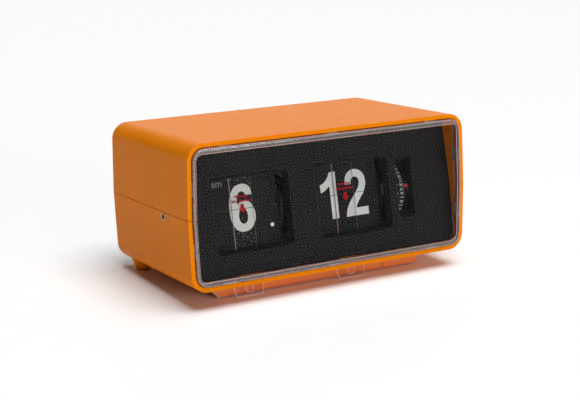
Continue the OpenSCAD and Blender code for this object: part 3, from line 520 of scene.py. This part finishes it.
# Each loop is a list of runs in millimetres from the digit's lower left corner; a run is a smooth
# curve through its points, and runs meet at corners.
DIGITS = {
    "1": [[
        [(12, 0), (12, 29.9)], [(12, 29.9), (7.8, 29.9)],
        [(7.8, 29.9), (5.6, 26.0), (2.4, 23.2), (0, 22.4)], [(0, 22.4), (0.3, 17.2)],
        [(0.3, 17.2), (2.6, 18.1), (5.2, 19.7), (7, 21.2)], [(7, 21.2), (7, 0)], [(7, 0), (12, 0)]]],
    "2": [[
        [(17, 0), (17, 5)], [(17, 5), (8.0, 5)],
        [(8.0, 5), (8.9, 7.2), (11.4, 10.6), (14.2, 14.1), (16.0, 17.8), (16.6, 21.4), (15.6, 25.8),
         (12.6, 28.8), (8.4, 29.9), (4.4, 28.6), (1.8, 25.6), (0.8, 20.6)],
        [(0.8, 20.6), (5.5, 20.6)],
        [(5.5, 20.6), (5.9, 23.4), (8.5, 25.1), (11.0, 23.9), (11.7, 21.4), (10.9, 18.4), (8.9, 15.4),
         (5.8, 11.9), (3.0, 8.3), (0.9, 4.4), (0, 0)],
        [(0, 0), (17, 0)]]],
    "3": [[
        [(0, 9), (5, 9)],
        [(5, 9), (6.0, 5.9), (8.4, 4.8), (10.9, 5.9), (11.9, 8.8), (10.8, 11.9), (8.2, 13.1),
         (6.6, 13.2)],
        [(6.6, 13.2), (6.6, 17.3)],
        [(6.6, 17.3), (8.5, 17.4), (10.4, 18.7), (11.0, 21.2), (10.2, 23.9), (8.3, 25.0), (6.4, 24.0),
         (5.6, 21.2)],
        [(5.6, 21.2), (0.8, 21.2)],
        [(0.8, 21.2), (2.2, 26.2), (4.9, 28.9), (8.4, 29.6), (12.4, 28.7), (15.2, 25.7), (15.9, 21.8),
         (15.0, 18.3), (12.8, 15.6)],
        [(12.8, 15.6), (15.8, 13.1), (17, 8.8), (15.9, 4.0), (12.8, 1.0), (8.4, 0), (4.0, 1.1),
         (1.0, 4.4), (0, 9)]]],
    "6": [[
        [(11.9, 22.3), (16.7, 22.3)],
        [(16.7, 22.3), (15.4, 26.6), (12.8, 28.8), (9.2, 29.3), (4.9, 27.9), (1.8, 24.0), (0.3, 18.8),
         (0, 13.5), (0.5, 8.0), (2.4, 3.4), (5.4, 0.7), (9.0, 0), (13.2, 1.1), (16.4, 4.6), (17.5, 9.4),
         (16.6, 14.4), (14.2, 17.8), (10.9, 19.0), (7.9, 18.4), (5.6, 16.7)],
        [(5.6, 16.7), (5.8, 20.0), (7.0, 23.6), (9.2, 24.8), (11.1, 24.1), (11.9, 22.3)]],
        [[(9.0, 14.5), (6.9, 13.2), (6.0, 9.8), (6.9, 6.2), (9.1, 4.8), (11.4, 6.1), (12.3, 9.7),
          (11.3, 13.2), (9.0, 14.5)]]],
    "7": [[
        [(0, 24.7), (0, 29.6)], [(0, 29.6), (16.8, 29.6)], [(16.8, 29.6), (16.8, 25.4)],
        [(16.8, 25.4), (12.6, 19.4), (9.6, 12.4), (8.2, 5.2), (8.0, 0)], [(8.0, 0), (2.6, 0)],
        [(2.6, 0), (3.4, 7.4), (5.7, 14.6), (8.8, 20.6), (11.7, 24.7)], [(11.7, 24.7), (0, 24.7)]]],
}


def smooth_run(points, steps=8):
    """Points along a smooth curve through the given ones; a run of two is straight."""
    if len(points) < 3:
        return [Vector(p) for p in points[:1]]
    closed = points[0] == points[-1]
    spots = [Vector(p) for p in points]
    before = spots[-2] if closed else spots[0] * 2 - spots[1]
    after = spots[1] if closed else spots[-1] * 2 - spots[-2]
    chain = [before] + spots + [after]
    curve = []
    for i in range(1, len(chain) - 2):
        a, b, c, d = chain[i - 1:i + 3]
        for k in range(steps):
            t = k / steps
            curve.append(0.5 * ((2 * b) + (c - a) * t + (2 * a - 5 * b + 4 * c - d) * t ** 2
                                + (3 * b - a - 3 * c + d) * t ** 3))
    return curve


def filled(name, loops, thickness):
    """Thin solid plate with the given outlines, in millimetres, lying in XZ and facing -Y."""
    curve = bpy.data.curves.new(name, "CURVE")
    curve.dimensions = "2D"
    curve.fill_mode = "BOTH"
    curve.extrude = thickness / 2 * MM
    for loop in loops:
        spline = curve.splines.new("POLY")
        spline.points.add(len(loop) - 1)
        for point, spot in zip(spline.points, loop):
            point.co = (spot[0] * MM, spot[1] * MM, 0, 1)
        spline.use_cyclic_u = True
    holder = bpy.data.objects.new(name, curve)
    bpy.context.scene.collection.objects.link(holder)
    bpy.context.view_layer.update()
    mesh = bpy.data.meshes.new_from_object(holder.evaluated_get(bpy.context.evaluated_depsgraph_get()))
    bpy.data.objects.remove(holder)
    bpy.data.curves.remove(curve)
    mesh.transform(Matrix.Rotation(math.radians(90), 4, "X"))
    weld_mesh(mesh)
    return mesh


def weld_mesh(mesh):
    """Joins points that coincide and turns every face outwards."""
    bm = bmesh.new()
    bm.from_mesh(mesh)
    bmesh.ops.remove_doubles(bm, verts=bm.verts, dist=SAME_POINT)
    bmesh.ops.recalc_face_normals(bm, faces=bm.faces)
    bm.to_mesh(mesh)
    bm.free()


def digit_mesh(name, text):
    """Flat digit with its lower left corner at the origin."""
    loops = [[spot for run in loop for spot in smooth_run(run)] for loop in DIGITS[text]]
    return filled(name, loops, INK)


def cut_mesh(mesh, height, keep_above):
    """Keeps the part of the mesh above or below a height, in millimetres, and closes the cut."""
    bm = bmesh.new()
    bm.from_mesh(mesh)
    geometry = bm.verts[:] + bm.edges[:] + bm.faces[:]
    cut = bmesh.ops.bisect_plane(
        bm, geom=geometry, plane_co=(0, 0, height * MM), plane_no=(0, 0, 1),
        clear_outer=not keep_above, clear_inner=keep_above)
    edges = [e for e in cut["geom_cut"] if isinstance(e, bmesh.types.BMEdge)]
    bmesh.ops.holes_fill(bm, edges=edges)
    bm.to_mesh(mesh)
    bm.free()


def piece(name, mesh, material, matrix, body):
    """Links a mesh as a piece of the clock that rides on a body."""
    mesh.transform(matrix)
    mesh.materials.clear()
    mesh.materials.append(material)
    thing = bpy.data.objects.new(name, mesh)
    bpy.context.scene.collection.objects.link(thing)
    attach(thing, body)
    return thing


# Thickness of the ink, and how far its middle stands off the leaf
INK = 0.02
PRINT_LIFT = 0.015
# Height of the digits' feet over the hinge line, and of the cuts between their halves
BASELINE = {"hour": -14.2, "minute": -15.0}
UPPER_CUT = 0.08
LOWER_CUT = -0.25


def half_digit(name, text, left, upper, matrix, body):
    """Upper or lower half of a digit, on the face whose frame has its origin on the hinge line."""
    mesh = digit_mesh(name, text)
    baseline = BASELINE["hour" if name.startswith("hour") else "minute"]
    mesh.transform(Matrix.Translation((left * MM, 0, baseline * MM)))
    cut_mesh(mesh, UPPER_CUT if upper else LOWER_CUT, upper)
    return piece(name, mesh, DIGIT, matrix, body)


def hinge_frame(depth, turn=None):
    """Frame on the hinge line, shifted to a depth behind the panel."""
    return on_panel(0, depth, HINGE_HEIGHT, turn)


FLIP_FRONT = HINGE_DEPTH + LEAF_GAP - PRINT_LIFT
FLIP_BACK = HINGE_DEPTH + LEAF_GAP + LEAF_THICKNESS + PRINT_LIFT
SHOWN_FRONT = HINGE_DEPTH - PRINT_LIFT
HALF_TURN = Matrix.Rotation(math.pi, 4, "X")
# Digits of the shown and the next number, each with the place of its left edge along the hinge
SHOWN = {"hour": [("6", -61)], "minute": [("1", 4.5), ("2", 22.1)]}
NEXT = {"hour": [("7", -60.6)], "minute": [("1", 4.5), ("3", 22.1)]}
# Degrees from one leaf to the next on each drum, and how a waiting leaf leans on its ear
LEAF_PITCH = {"hour": 7.5, "minute": 6.0}
WAITING_LEAN = math.radians(12)


def waiting_frame(pitch):
    """Frame of the first waiting leaf's front face, with its origin level with the hinge line."""
    angle = HEEL_ANGLE + math.radians(pitch)
    lean = angle - WAITING_LEAN
    depth = SHAFT_DEPTH - EAR_CIRCLE * math.cos(angle)
    height = SHAFT_HEIGHT + EAR_CIRCLE * math.sin(angle)
    top = on_panel(0, depth, height, Matrix.Rotation(-lean, 4, "X"))
    return top @ Matrix.Translation((0, (LEAF_GAP - PRINT_LIFT) * MM, (HINGE_HEIGHT - height) * MM))


def print_leaves():
    """The shown number in two halves, and the next one on the hidden faces."""
    for drum, pitch in LEAF_PITCH.items():
        leaf = drum + "_leaf"
        for i, (text, left) in enumerate(SHOWN[drum]):
            half_digit(f"{drum}_digit_{i}_top", text, left, True, hinge_frame(FLIP_FRONT), leaf)
            half_digit(f"{drum}_digit_{i}_bottom", text, left, False, hinge_frame(SHOWN_FRONT), "case")
        for i, (text, left) in enumerate(NEXT[drum]):
            half_digit(f"{drum}_next_{i}_top", text, left, True, waiting_frame(pitch), "case")
            turned_over = hinge_frame(FLIP_BACK, HALF_TURN)
            half_digit(f"{drum}_next_{i}_bottom", text, left, False, turned_over, leaf)


HALF_DAY_MARK = "am"
HALF_DAY_SIZE = 6.2
HALF_DAY_PLACE = (-67.9, 16.2)
DOT_RADIUS = 1.25
DOT_PLACE = (-32.5, -13.0)


def disc(radius, middle=(0, 0), steps=32):
    """Points round a circle, in millimetres."""
    turns = [math.tau * i / steps for i in range(steps)]
    return [(middle[0] + radius * math.cos(a), middle[1] + radius * math.sin(a)) for a in turns]


def block(left, low, right, high):
    """Corners of an upright rectangle, in millimetres."""
    return [(left, low), (right, low), (right, high), (left, high)]


def text_mesh(name, body, size):
    """Small flat lettering in the built-in typeface, lying in XZ, centred on its origin."""
    curve = bpy.data.curves.new(name, "FONT")
    curve.body = body
    curve.size = size * MM
    curve.align_x = "CENTER"
    curve.align_y = "CENTER"
    curve.extrude = INK / 2 * MM
    curve.resolution_u = 3
    holder = bpy.data.objects.new(name, curve)
    bpy.context.scene.collection.objects.link(holder)
    bpy.context.view_layer.update()
    mesh = bpy.data.meshes.new_from_object(holder.evaluated_get(bpy.context.evaluated_depsgraph_get()))
    bpy.data.objects.remove(holder)
    bpy.data.curves.remove(curve)
    mesh.transform(Matrix.Rotation(math.radians(90), 4, "X"))
    weld_mesh(mesh)
    return mesh


def small_mark(name, mesh, material, place, matrix, body):
    """A mark on a leaf, on the face whose frame has its origin on the hinge line."""
    mesh.transform(Matrix.Translation((place[0] * MM, 0, (place[1] - HINGE_HEIGHT) * MM)))
    piece(name, mesh, material, matrix, body)


def print_small_marks():
    """The half-day mark and the white dot on the hour leaves, shown and next."""
    shown = ("", hinge_frame(FLIP_FRONT), "hour_leaf", hinge_frame(SHOWN_FRONT), "case")
    waiting = waiting_frame(LEAF_PITCH["hour"])
    following = ("_next", waiting, "case", hinge_frame(FLIP_BACK, HALF_TURN), "hour_leaf")
    for suffix, upper, upper_body, lower, lower_body in (shown, following):
        mark = text_mesh("half_day_mark" + suffix, HALF_DAY_MARK, HALF_DAY_SIZE)
        small_mark("half_day_mark" + suffix, mark, DIM_MARK, HALF_DAY_PLACE, upper, upper_body)
        dot = filled("separator_dot" + suffix, [disc(DOT_RADIUS)], INK)
        small_mark("separator_dot" + suffix, dot, DOT_PAINTED_BRIGHT, DOT_PLACE, lower, lower_body)


def join_meshes(name, meshes):
    """One mesh made of the given ones, which are used up."""
    bm = bmesh.new()
    for mesh in meshes:
        bm.from_mesh(mesh)
        bpy.data.meshes.remove(mesh)
    joined = bpy.data.meshes.new(name)
    bm.to_mesh(joined)
    bm.free()
    return joined


def fit_mesh(mesh, width, height):
    """Scales flat lettering to a height, and to a width where it is wider, in millimetres."""
    spans = [[vert.co[axis] for vert in mesh.vertices] for axis in (0, 2)]
    wide = max(spans[0]) - min(spans[0])
    tall = max(spans[1]) - min(spans[1])
    upright = height * MM / tall
    mesh.transform(Matrix.Diagonal((min(upright, width * MM / wide), 1, upright, 1)))


# Labels of the alarm wheel, in the frame of its shaft
HOURS = 24
LABEL_LETTERING = 4.0
LABEL_WIDTH = 1.7
LABEL_HEIGHT = 2.3
LABEL_X = 62.6
TICK_X = (59.4, 60)
TICK_WIDTH = 0.3
WHEEL_INK_LIFT = 0.03


def print_alarm_wheel():
    """Hours and half hours round the alarm wheel, read from the right."""
    labels = []
    reach = -(ALARM_WHEEL_RADIUS + WHEEL_INK_LIFT) * MM
    for i in range(2 * HOURS):
        label = str((i // 2 - 1) % 12 + 1) if i % 2 == 0 else "30"
        mesh = text_mesh("label", label, LABEL_LETTERING)
        fit_mesh(mesh, LABEL_WIDTH, LABEL_HEIGHT)
        mesh.transform(Matrix.Rotation(math.radians(90), 4, "Y"))
        mesh.transform(Matrix.Translation((LABEL_X * MM, reach, 0)))
        mesh.transform(Matrix.Rotation(i * math.tau / (2 * HOURS), 4, "X"))
        labels.append(mesh)
    for i in range(HOURS):
        tick = filled("tick", [block(TICK_X[0], -TICK_WIDTH / 2, TICK_X[1], TICK_WIDTH / 2)], INK)
        tick.transform(Matrix.Translation((0, reach, 0)))
        tick.transform(Matrix.Rotation((i + 0.5) * math.tau / HOURS, 4, "X"))
        labels.append(tick)
    numerals = join_meshes("alarm_numerals", labels)
    wheel_axis = on_panel(0, SHAFT_DEPTH, SHAFT_HEIGHT)
    piece("alarm_numerals", numerals, DIGIT, wheel_axis, "alarm_works")


# Transit films ---------------------------------------------------------------------------------

# Places on the films are in the panel's frame
FILM_INK_DEPTH = 9.97
FILM_EDGE_DEPTH = 9.93
FILM_WIDTH = 14.8
FILM_TOP = 26
FILM_BOTTOM = -45
FILM_SHEET = 0.1
NEAR_EDGE_WIDTH = 0.5
FAR_EDGE_WIDTH = 0.25
# Each film's left edge, the middle and top of its arrow, and the feet of its two rows of marks
FILMS = {"hour": (-60.2, -52.2, 2.2, (6.4, 3.5)), "minute": (13.8, 22.2, 0.5, (5.2, 2.2))}
ARROW_SHAFT = 1.1
ARROW_HEAD = 2.3
ARROW_SHOULDER = 2.6
ARROW_LENGTH = 5.3
# Half the length of each row of marks, and its number of words
ROWS = ((4.6, 1), (6.6, 3))
MARK_HEIGHT = 1.3
MARK_WIDTHS = (0.55, 0.85)
MARK_GAP = 0.4
WORD_GAP = 0.9
TAB_INSET = 0.7
# Corners and hole of a pull tab, along from its left corner and up the panel
TAB_CORNERS = ((0, -45.5), (-5.5, -47), (-3.5, -54.3), (15.3, -54.3), (16.2, -47), (15, -45.5))
TAB_HOLE = (6.1, -49.5)
TAB_HOLE_RADII = (2.85, 2.5)
TAB_HOLE_STEPS = 40
TAB_EDGE_WIDTH = 0.35
TAB_EDGE_THICKNESS = 0.06


def arrow_outline(middle, top):
    """Broad arrow that points down."""
    shoulder = top - ARROW_SHOULDER
    return [
        (middle - ARROW_SHAFT, top),
        (middle + ARROW_SHAFT, top),
        (middle + ARROW_SHAFT, shoulder),
        (middle + ARROW_HEAD, shoulder),
        (middle, top - ARROW_LENGTH),
        (middle - ARROW_HEAD, shoulder),
        (middle - ARROW_SHAFT, shoulder),
    ]


def word_line(middle, reach, low, words):
    """Row of small upright blocks with word gaps."""
    marks = []
    word_width = (2 * reach - WORD_GAP * (words - 1)) / words
    for word in range(words):
        x = middle - reach + word * (word_width + WORD_GAP)
        end = x + word_width
        while x < end - MARK_GAP:
            width = min(random.uniform(*MARK_WIDTHS), end - x)
            marks.append(filled("mark", [block(x, low, x + width, low + MARK_HEIGHT)], INK))
            x += width + MARK_GAP
    return marks


def print_films():
    """Red arrow and two rows of marks on each transit film, and light strips on the film's edges that paint
    their glint.
    """
    ink_place = on_panel(0, FILM_INK_DEPTH, 0)
    edge_place = on_panel(0, FILM_EDGE_DEPTH, 0)
    for name, (left, middle, top, rows) in FILMS.items():
        marks = [filled("arrow", [arrow_outline(middle, top)], INK)]
        for low, (reach, words) in zip(rows, ROWS):
            marks += word_line(middle, reach, low, words)
        print_mesh = join_meshes("print", marks)
        piece(f"{name}_film_print", print_mesh, FILM_INK, ink_place, "case")
        # The edge strips' colours are painted glints on the clear film.
        edges = (("near", left, NEAR_EDGE_WIDTH, FILM_EDGE_PAINTED_GLINT),
                 ("far", left + FILM_WIDTH, FAR_EDGE_WIDTH, FILM_FAR_EDGE_PAINTED_GLINT))
        for side, x, width, ink in edges:
            edge = filled("edge", [block(x, FILM_BOTTOM, x + width, FILM_TOP)], FILM_SHEET)
            piece(f"{name}_film_{side}_edge", edge, ink, edge_place, "case")
        tab = join_meshes("tab", tab_edges(left + TAB_INSET))
        piece(f"{name}_film_tab_edge_painted_glint", tab, FILM_TAB_EDGE_PAINTED_GLINT, edge_place, "case")


def tab_edges(left):
    """Light strips on the cut edges of a film's pull tab and of the hole in it, painting their glint."""
    corners = [(left + x, height) for x, height in TAB_CORNERS]
    strips = []
    for start, end in zip(corners, corners[1:]):
        a, b = Vector(start), Vector(end)
        inward = (b - a).orthogonal().normalized() * TAB_EDGE_WIDTH
        strips.append(filled("strip", [[a, b, b + inward, a + inward]], TAB_EDGE_THICKNESS))
    middle = (left + TAB_HOLE[0], TAB_HOLE[1])
    ring = [disc(radius, middle, TAB_HOLE_STEPS) for radius in TAB_HOLE_RADII]
    return strips + [filled("hole", ring, TAB_EDGE_THICKNESS)]


# Knobs -----------------------------------------------------------------------------------------


def circle_of_verts(bm, x, radii):
    """One vertex for each radius, evenly round the X axis, in millimetres."""
    verts = []
    for i, radius in enumerate(radii):
        angle = math.tau * i / len(radii)
        reach = radius * MM
        verts.append(bm.verts.new((x * MM, reach * math.cos(angle), reach * math.sin(angle))))
    return verts


def turned(name, profile, bore, flutes, flute_depth, fluted_rows):
    """Solid turned about X from rows of (x, radius), with flutes cut along the chosen rows."""
    bm = bmesh.new()
    count = flutes * FLUTE_SEGMENTS
    waves = [0.5 + 0.5 * math.cos(flutes * math.tau * i / count) for i in range(count)]
    rings = []
    for row, (x, radius) in enumerate(profile):
        groove = flute_depth if row in fluted_rows else 0
        rings.append(circle_of_verts(bm, x, [radius - groove * wave ** 2 for wave in waves]))
    if bore:
        for x in (profile[-1][0], profile[0][0]):
            rings.append(circle_of_verts(bm, x, [bore] * count))
        pairs = list(zip(rings, rings[1:] + rings[:1]))
    else:
        bm.faces.new(rings[0])
        bm.faces.new(rings[-1])
        pairs = list(zip(rings, rings[1:]))
    for a, b in pairs:
        for i in range(count):
            j = (i + 1) % count
            bm.faces.new((a[i], a[j], b[j], b[i]))
    bmesh.ops.recalc_face_normals(bm, faces=bm.faces)
    mesh = bpy.data.meshes.new(name)
    bm.to_mesh(mesh)
    bm.free()
    return mesh


# Shape of every knob, in its own axis's frame with X out of the side
KNOB_CHAMFER = 0.4
ROUND_OVER = 0.8
ROUND_STEPS = 4
DISH = 0.5
DISH_RIM = 1.8
DISH_WALL = 2.6
DISH_MIDDLE = 1.2
FLUTED_ROWS = range(1, 4)
FLUTE_SEGMENTS = 4
ALARM_KNOB = {"back": 101, "front": 106, "radius": 13, "bore": 3.42, "flutes": 40, "depth": 0.7}
TIME_KNOB = {"back": 106.6, "front": 112, "radius": 8.5, "bore": 0, "flutes": 28, "depth": 0.6}
SIDE_KNOB = {"back": 100.6, "front": 108, "radius": 9, "bore": 0, "flutes": 30, "depth": 0.6}
# Heights from the seam, and depth behind the rim, of the two knobs near the back
SIDE_KNOB_HEIGHTS = {"volume": 18, "tuning": -16}
SIDE_KNOB_DEPTH = 80
STEM_BACK = 92.02
STEM_RADIUS = 3
POINTER_X = 107.52
POINTER_WIDTH = 0.7
POINTER_REACH = (2, 6.2)
POINTER_THICKNESS = 0.04


def knob_profile(back, front, radius, dish=0.0):
    """Rows of a knob's outline from back to front: rounded edges and, if asked for, a dished face."""
    rows = [(back, radius - KNOB_CHAMFER), (back + KNOB_CHAMFER, radius)]
    for i in range(ROUND_STEPS + 1):
        angle = math.pi / 2 * i / ROUND_STEPS
        x = front - ROUND_OVER * (1 - math.sin(angle))
        rows.append((x, radius - ROUND_OVER * (1 - math.cos(angle))))
    if dish:
        floor = front - dish
        rows += [(front, radius - DISH_RIM), (floor, radius - DISH_WALL), (floor, DISH_MIDDLE)]
    return rows


def knob(name, sizes, axis, body, stem=(), dish=0.0):
    """A fluted knob in place of the plain one, on its own axis and body."""
    rows = list(stem) + knob_profile(sizes["back"], sizes["front"], sizes["radius"], dish)
    fluted = [row + len(stem) for row in FLUTED_ROWS]
    mesh = turned(name + "_fluted", rows, sizes["bore"], sizes["flutes"], sizes["depth"], fluted)
    thing = piece(name + "_fluted", mesh, KNOB_BLACK, axis, body)
    smooth_by_angle(thing)
    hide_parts(name)


def make_knobs():
    """Fluted alarm and time knobs on the drum shaft, volume and tuning knobs above and below the seam."""
    axis = on_panel(0, SHAFT_DEPTH, SHAFT_HEIGHT)
    knob("alarm_knob", ALARM_KNOB, axis, "alarm_works")
    knob("time_knob", TIME_KNOB, axis, "minute_works", dish=DISH)
    stem = [(STEM_BACK, STEM_RADIUS), (SIDE_KNOB["back"], STEM_RADIUS)]
    for body, height in SIDE_KNOB_HEIGHTS.items():
        name = body + "_knob"
        axis = CASE @ Matrix.Translation((0, SIDE_KNOB_DEPTH * MM, height * MM))
        knob(name, SIDE_KNOB, axis, body, stem, DISH)
        pointer = block(-POINTER_WIDTH / 2, POINTER_REACH[0], POINTER_WIDTH / 2, POINTER_REACH[1])
        line = filled("line", [pointer], POINTER_THICKNESS)
        line.transform(Matrix.Rotation(math.radians(90), 4, "Z"))
        line.transform(Matrix.Translation((POINTER_X * MM, 0, 0)))
        piece(name + "_line", line, DIGIT, axis, body)


# Studio ----------------------------------------------------------------------------------------

# Places are in metres, angles in degrees, and the lens in millimetres
CAMERA_PLACE = (-0.4335, -0.73236, 0.2612)
CAMERA_AZIMUTH = 30.30
CAMERA_ELEVATION = 14.35
CAMERA_ROLL = 0.07
CAMERA_LENS = 83.17
CAMERA_SENSOR = 36
# Light of the room: an even level, and two soft lobes with a direction, a range of cosines and a gain
ROOM_LEVEL = 0.04
ROOM_GAIN = 0.15
ROOM_SIDE = (0.85, 0.53, 0)
ROOM_LOBE = (-0.2, 0.6)
CARD_GAIN = 0.7
CARD_SIDE = (0.5, 0.86, 0.1)
CARD_LOBE = (0.8, 0.95)
# Soft light from above and a weak one in front
SUN_SIDE = (0.10, -0.20, 0.97)
SUN_STRENGTH = 2.95
SUN_SPREAD = 45
FRONT_LIGHT_PLACE = (0.3, -1.5, 0.3)
FRONT_LIGHT_TARGET = (0, 0, 0.05)
FRONT_LIGHT_SIZE = (0.9, 0.5)
FRONT_LIGHT_WATTS = 7.5
FLOOR_REACH = 9
FLOOR_PALE = (0.93, 0.93, 0.93, 1)


def make_camera():
    """Long lens in front of the clock, to its left and a little above it."""
    data = bpy.data.cameras.new("camera")
    data.lens = CAMERA_LENS
    data.sensor_width = CAMERA_SENSOR
    camera = bpy.data.objects.new("camera", data)
    bpy.context.scene.collection.objects.link(camera)
    turn = Matrix.Rotation(-math.radians(CAMERA_AZIMUTH), 4, "Z")
    tip = Matrix.Rotation(math.radians(90 - CAMERA_ELEVATION), 4, "X")
    roll = Matrix.Rotation(-math.radians(CAMERA_ROLL), 4, "Z")
    camera.matrix_world = Matrix.Translation(CAMERA_PLACE) @ turn @ tip @ roll
    bpy.context.scene.camera = camera


def area_light(name, place, target, size, watts):
    """Rectangular light aimed at a point and left out of the picture."""
    data = bpy.data.lights.new(name, "AREA")
    data.shape = "RECTANGLE"
    data.size, data.size_y = size
    data.energy = watts
    light = bpy.data.objects.new(name, data)
    bpy.context.scene.collection.objects.link(light)
    light.location = place
    light.rotation_euler = (Vector(target) - Vector(place)).to_track_quat("-Z", "Y").to_euler()
    light.visible_camera = False


def soft_sun(direction, strength, spread):
    """Distant soft light from a direction, spread over an angle in degrees."""
    data = bpy.data.lights.new("sun", "SUN")
    data.energy = strength
    data.angle = math.radians(spread)
    light = bpy.data.objects.new("sun", data)
    bpy.context.scene.collection.objects.link(light)
    light.rotation_euler = Vector(direction).to_track_quat("Z", "Y").to_euler()


def light_room(tree):
    """A dim room in front, a paler one to the right and a bright card far behind the clock."""
    background = tree.nodes["Background"]
    background.inputs["Color"].default_value = (1, 1, 1, 1)
    direction = tree.nodes.new("ShaderNodeTexCoord").outputs["Generated"]
    level = tree.nodes.new("ShaderNodeValue").outputs["Value"]
    level.default_value = ROOM_LEVEL
    for towards, lobe, gain in ((ROOM_SIDE, ROOM_LOBE, ROOM_GAIN), (CARD_SIDE, CARD_LOBE, CARD_GAIN)):
        facing = tree.nodes.new("ShaderNodeVectorMath")
        facing.operation = "DOT_PRODUCT"
        facing.inputs[1].default_value = towards
        tree.links.new(direction, facing.inputs[0])
        glow = tree.nodes.new("ShaderNodeMapRange")
        glow.interpolation_type = "SMOOTHSTEP"
        glow.inputs["From Min"].default_value = lobe[0]
        glow.inputs["From Max"].default_value = lobe[1]
        glow.inputs["To Max"].default_value = gain
        tree.links.new(facing.outputs["Value"], glow.inputs["Value"])
        total = tree.nodes.new("ShaderNodeMath")
        tree.links.new(level, total.inputs[0])
        tree.links.new(glow.outputs["Result"], total.inputs[1])
        level = total.outputs["Value"]
    tree.links.new(level, background.inputs["Strength"])


def lay_floor():
    """Wide pale floor."""
    mesh = bpy.data.meshes.new("floor")
    bm = bmesh.new()
    bmesh.ops.create_grid(bm, x_segments=1, y_segments=1, size=FLOOR_REACH)
    bm.to_mesh(mesh)
    bm.free()
    floor = bpy.data.objects.new("floor", mesh)
    bpy.context.scene.collection.objects.link(floor)
    mesh.materials.append(moulded("floor_pale", FLOOR_PALE, (0.6, 0.7), 0.003, 40, 0.0, sheen=0.05))


def make_studio():
    """Room, lights and pale floor, with colours shown as they are."""
    scene = bpy.context.scene
    scene.view_settings.view_transform = "Standard"
    scene.view_settings.look = "None"
    scene.world = bpy.data.worlds.new("studio")
    scene.world.use_nodes = True
    light_room(scene.world.node_tree)
    soft_sun(SUN_SIDE, SUN_STRENGTH, SUN_SPREAD)
    area_light("front", FRONT_LIGHT_PLACE, FRONT_LIGHT_TARGET, FRONT_LIGHT_SIZE, FRONT_LIGHT_WATTS)
    lay_floor()


dress_cad_nodes()
make_lens()
make_knobs()
print_leaves()
print_small_marks()
print_alarm_wheel()
print_films()
make_camera()
make_studio()
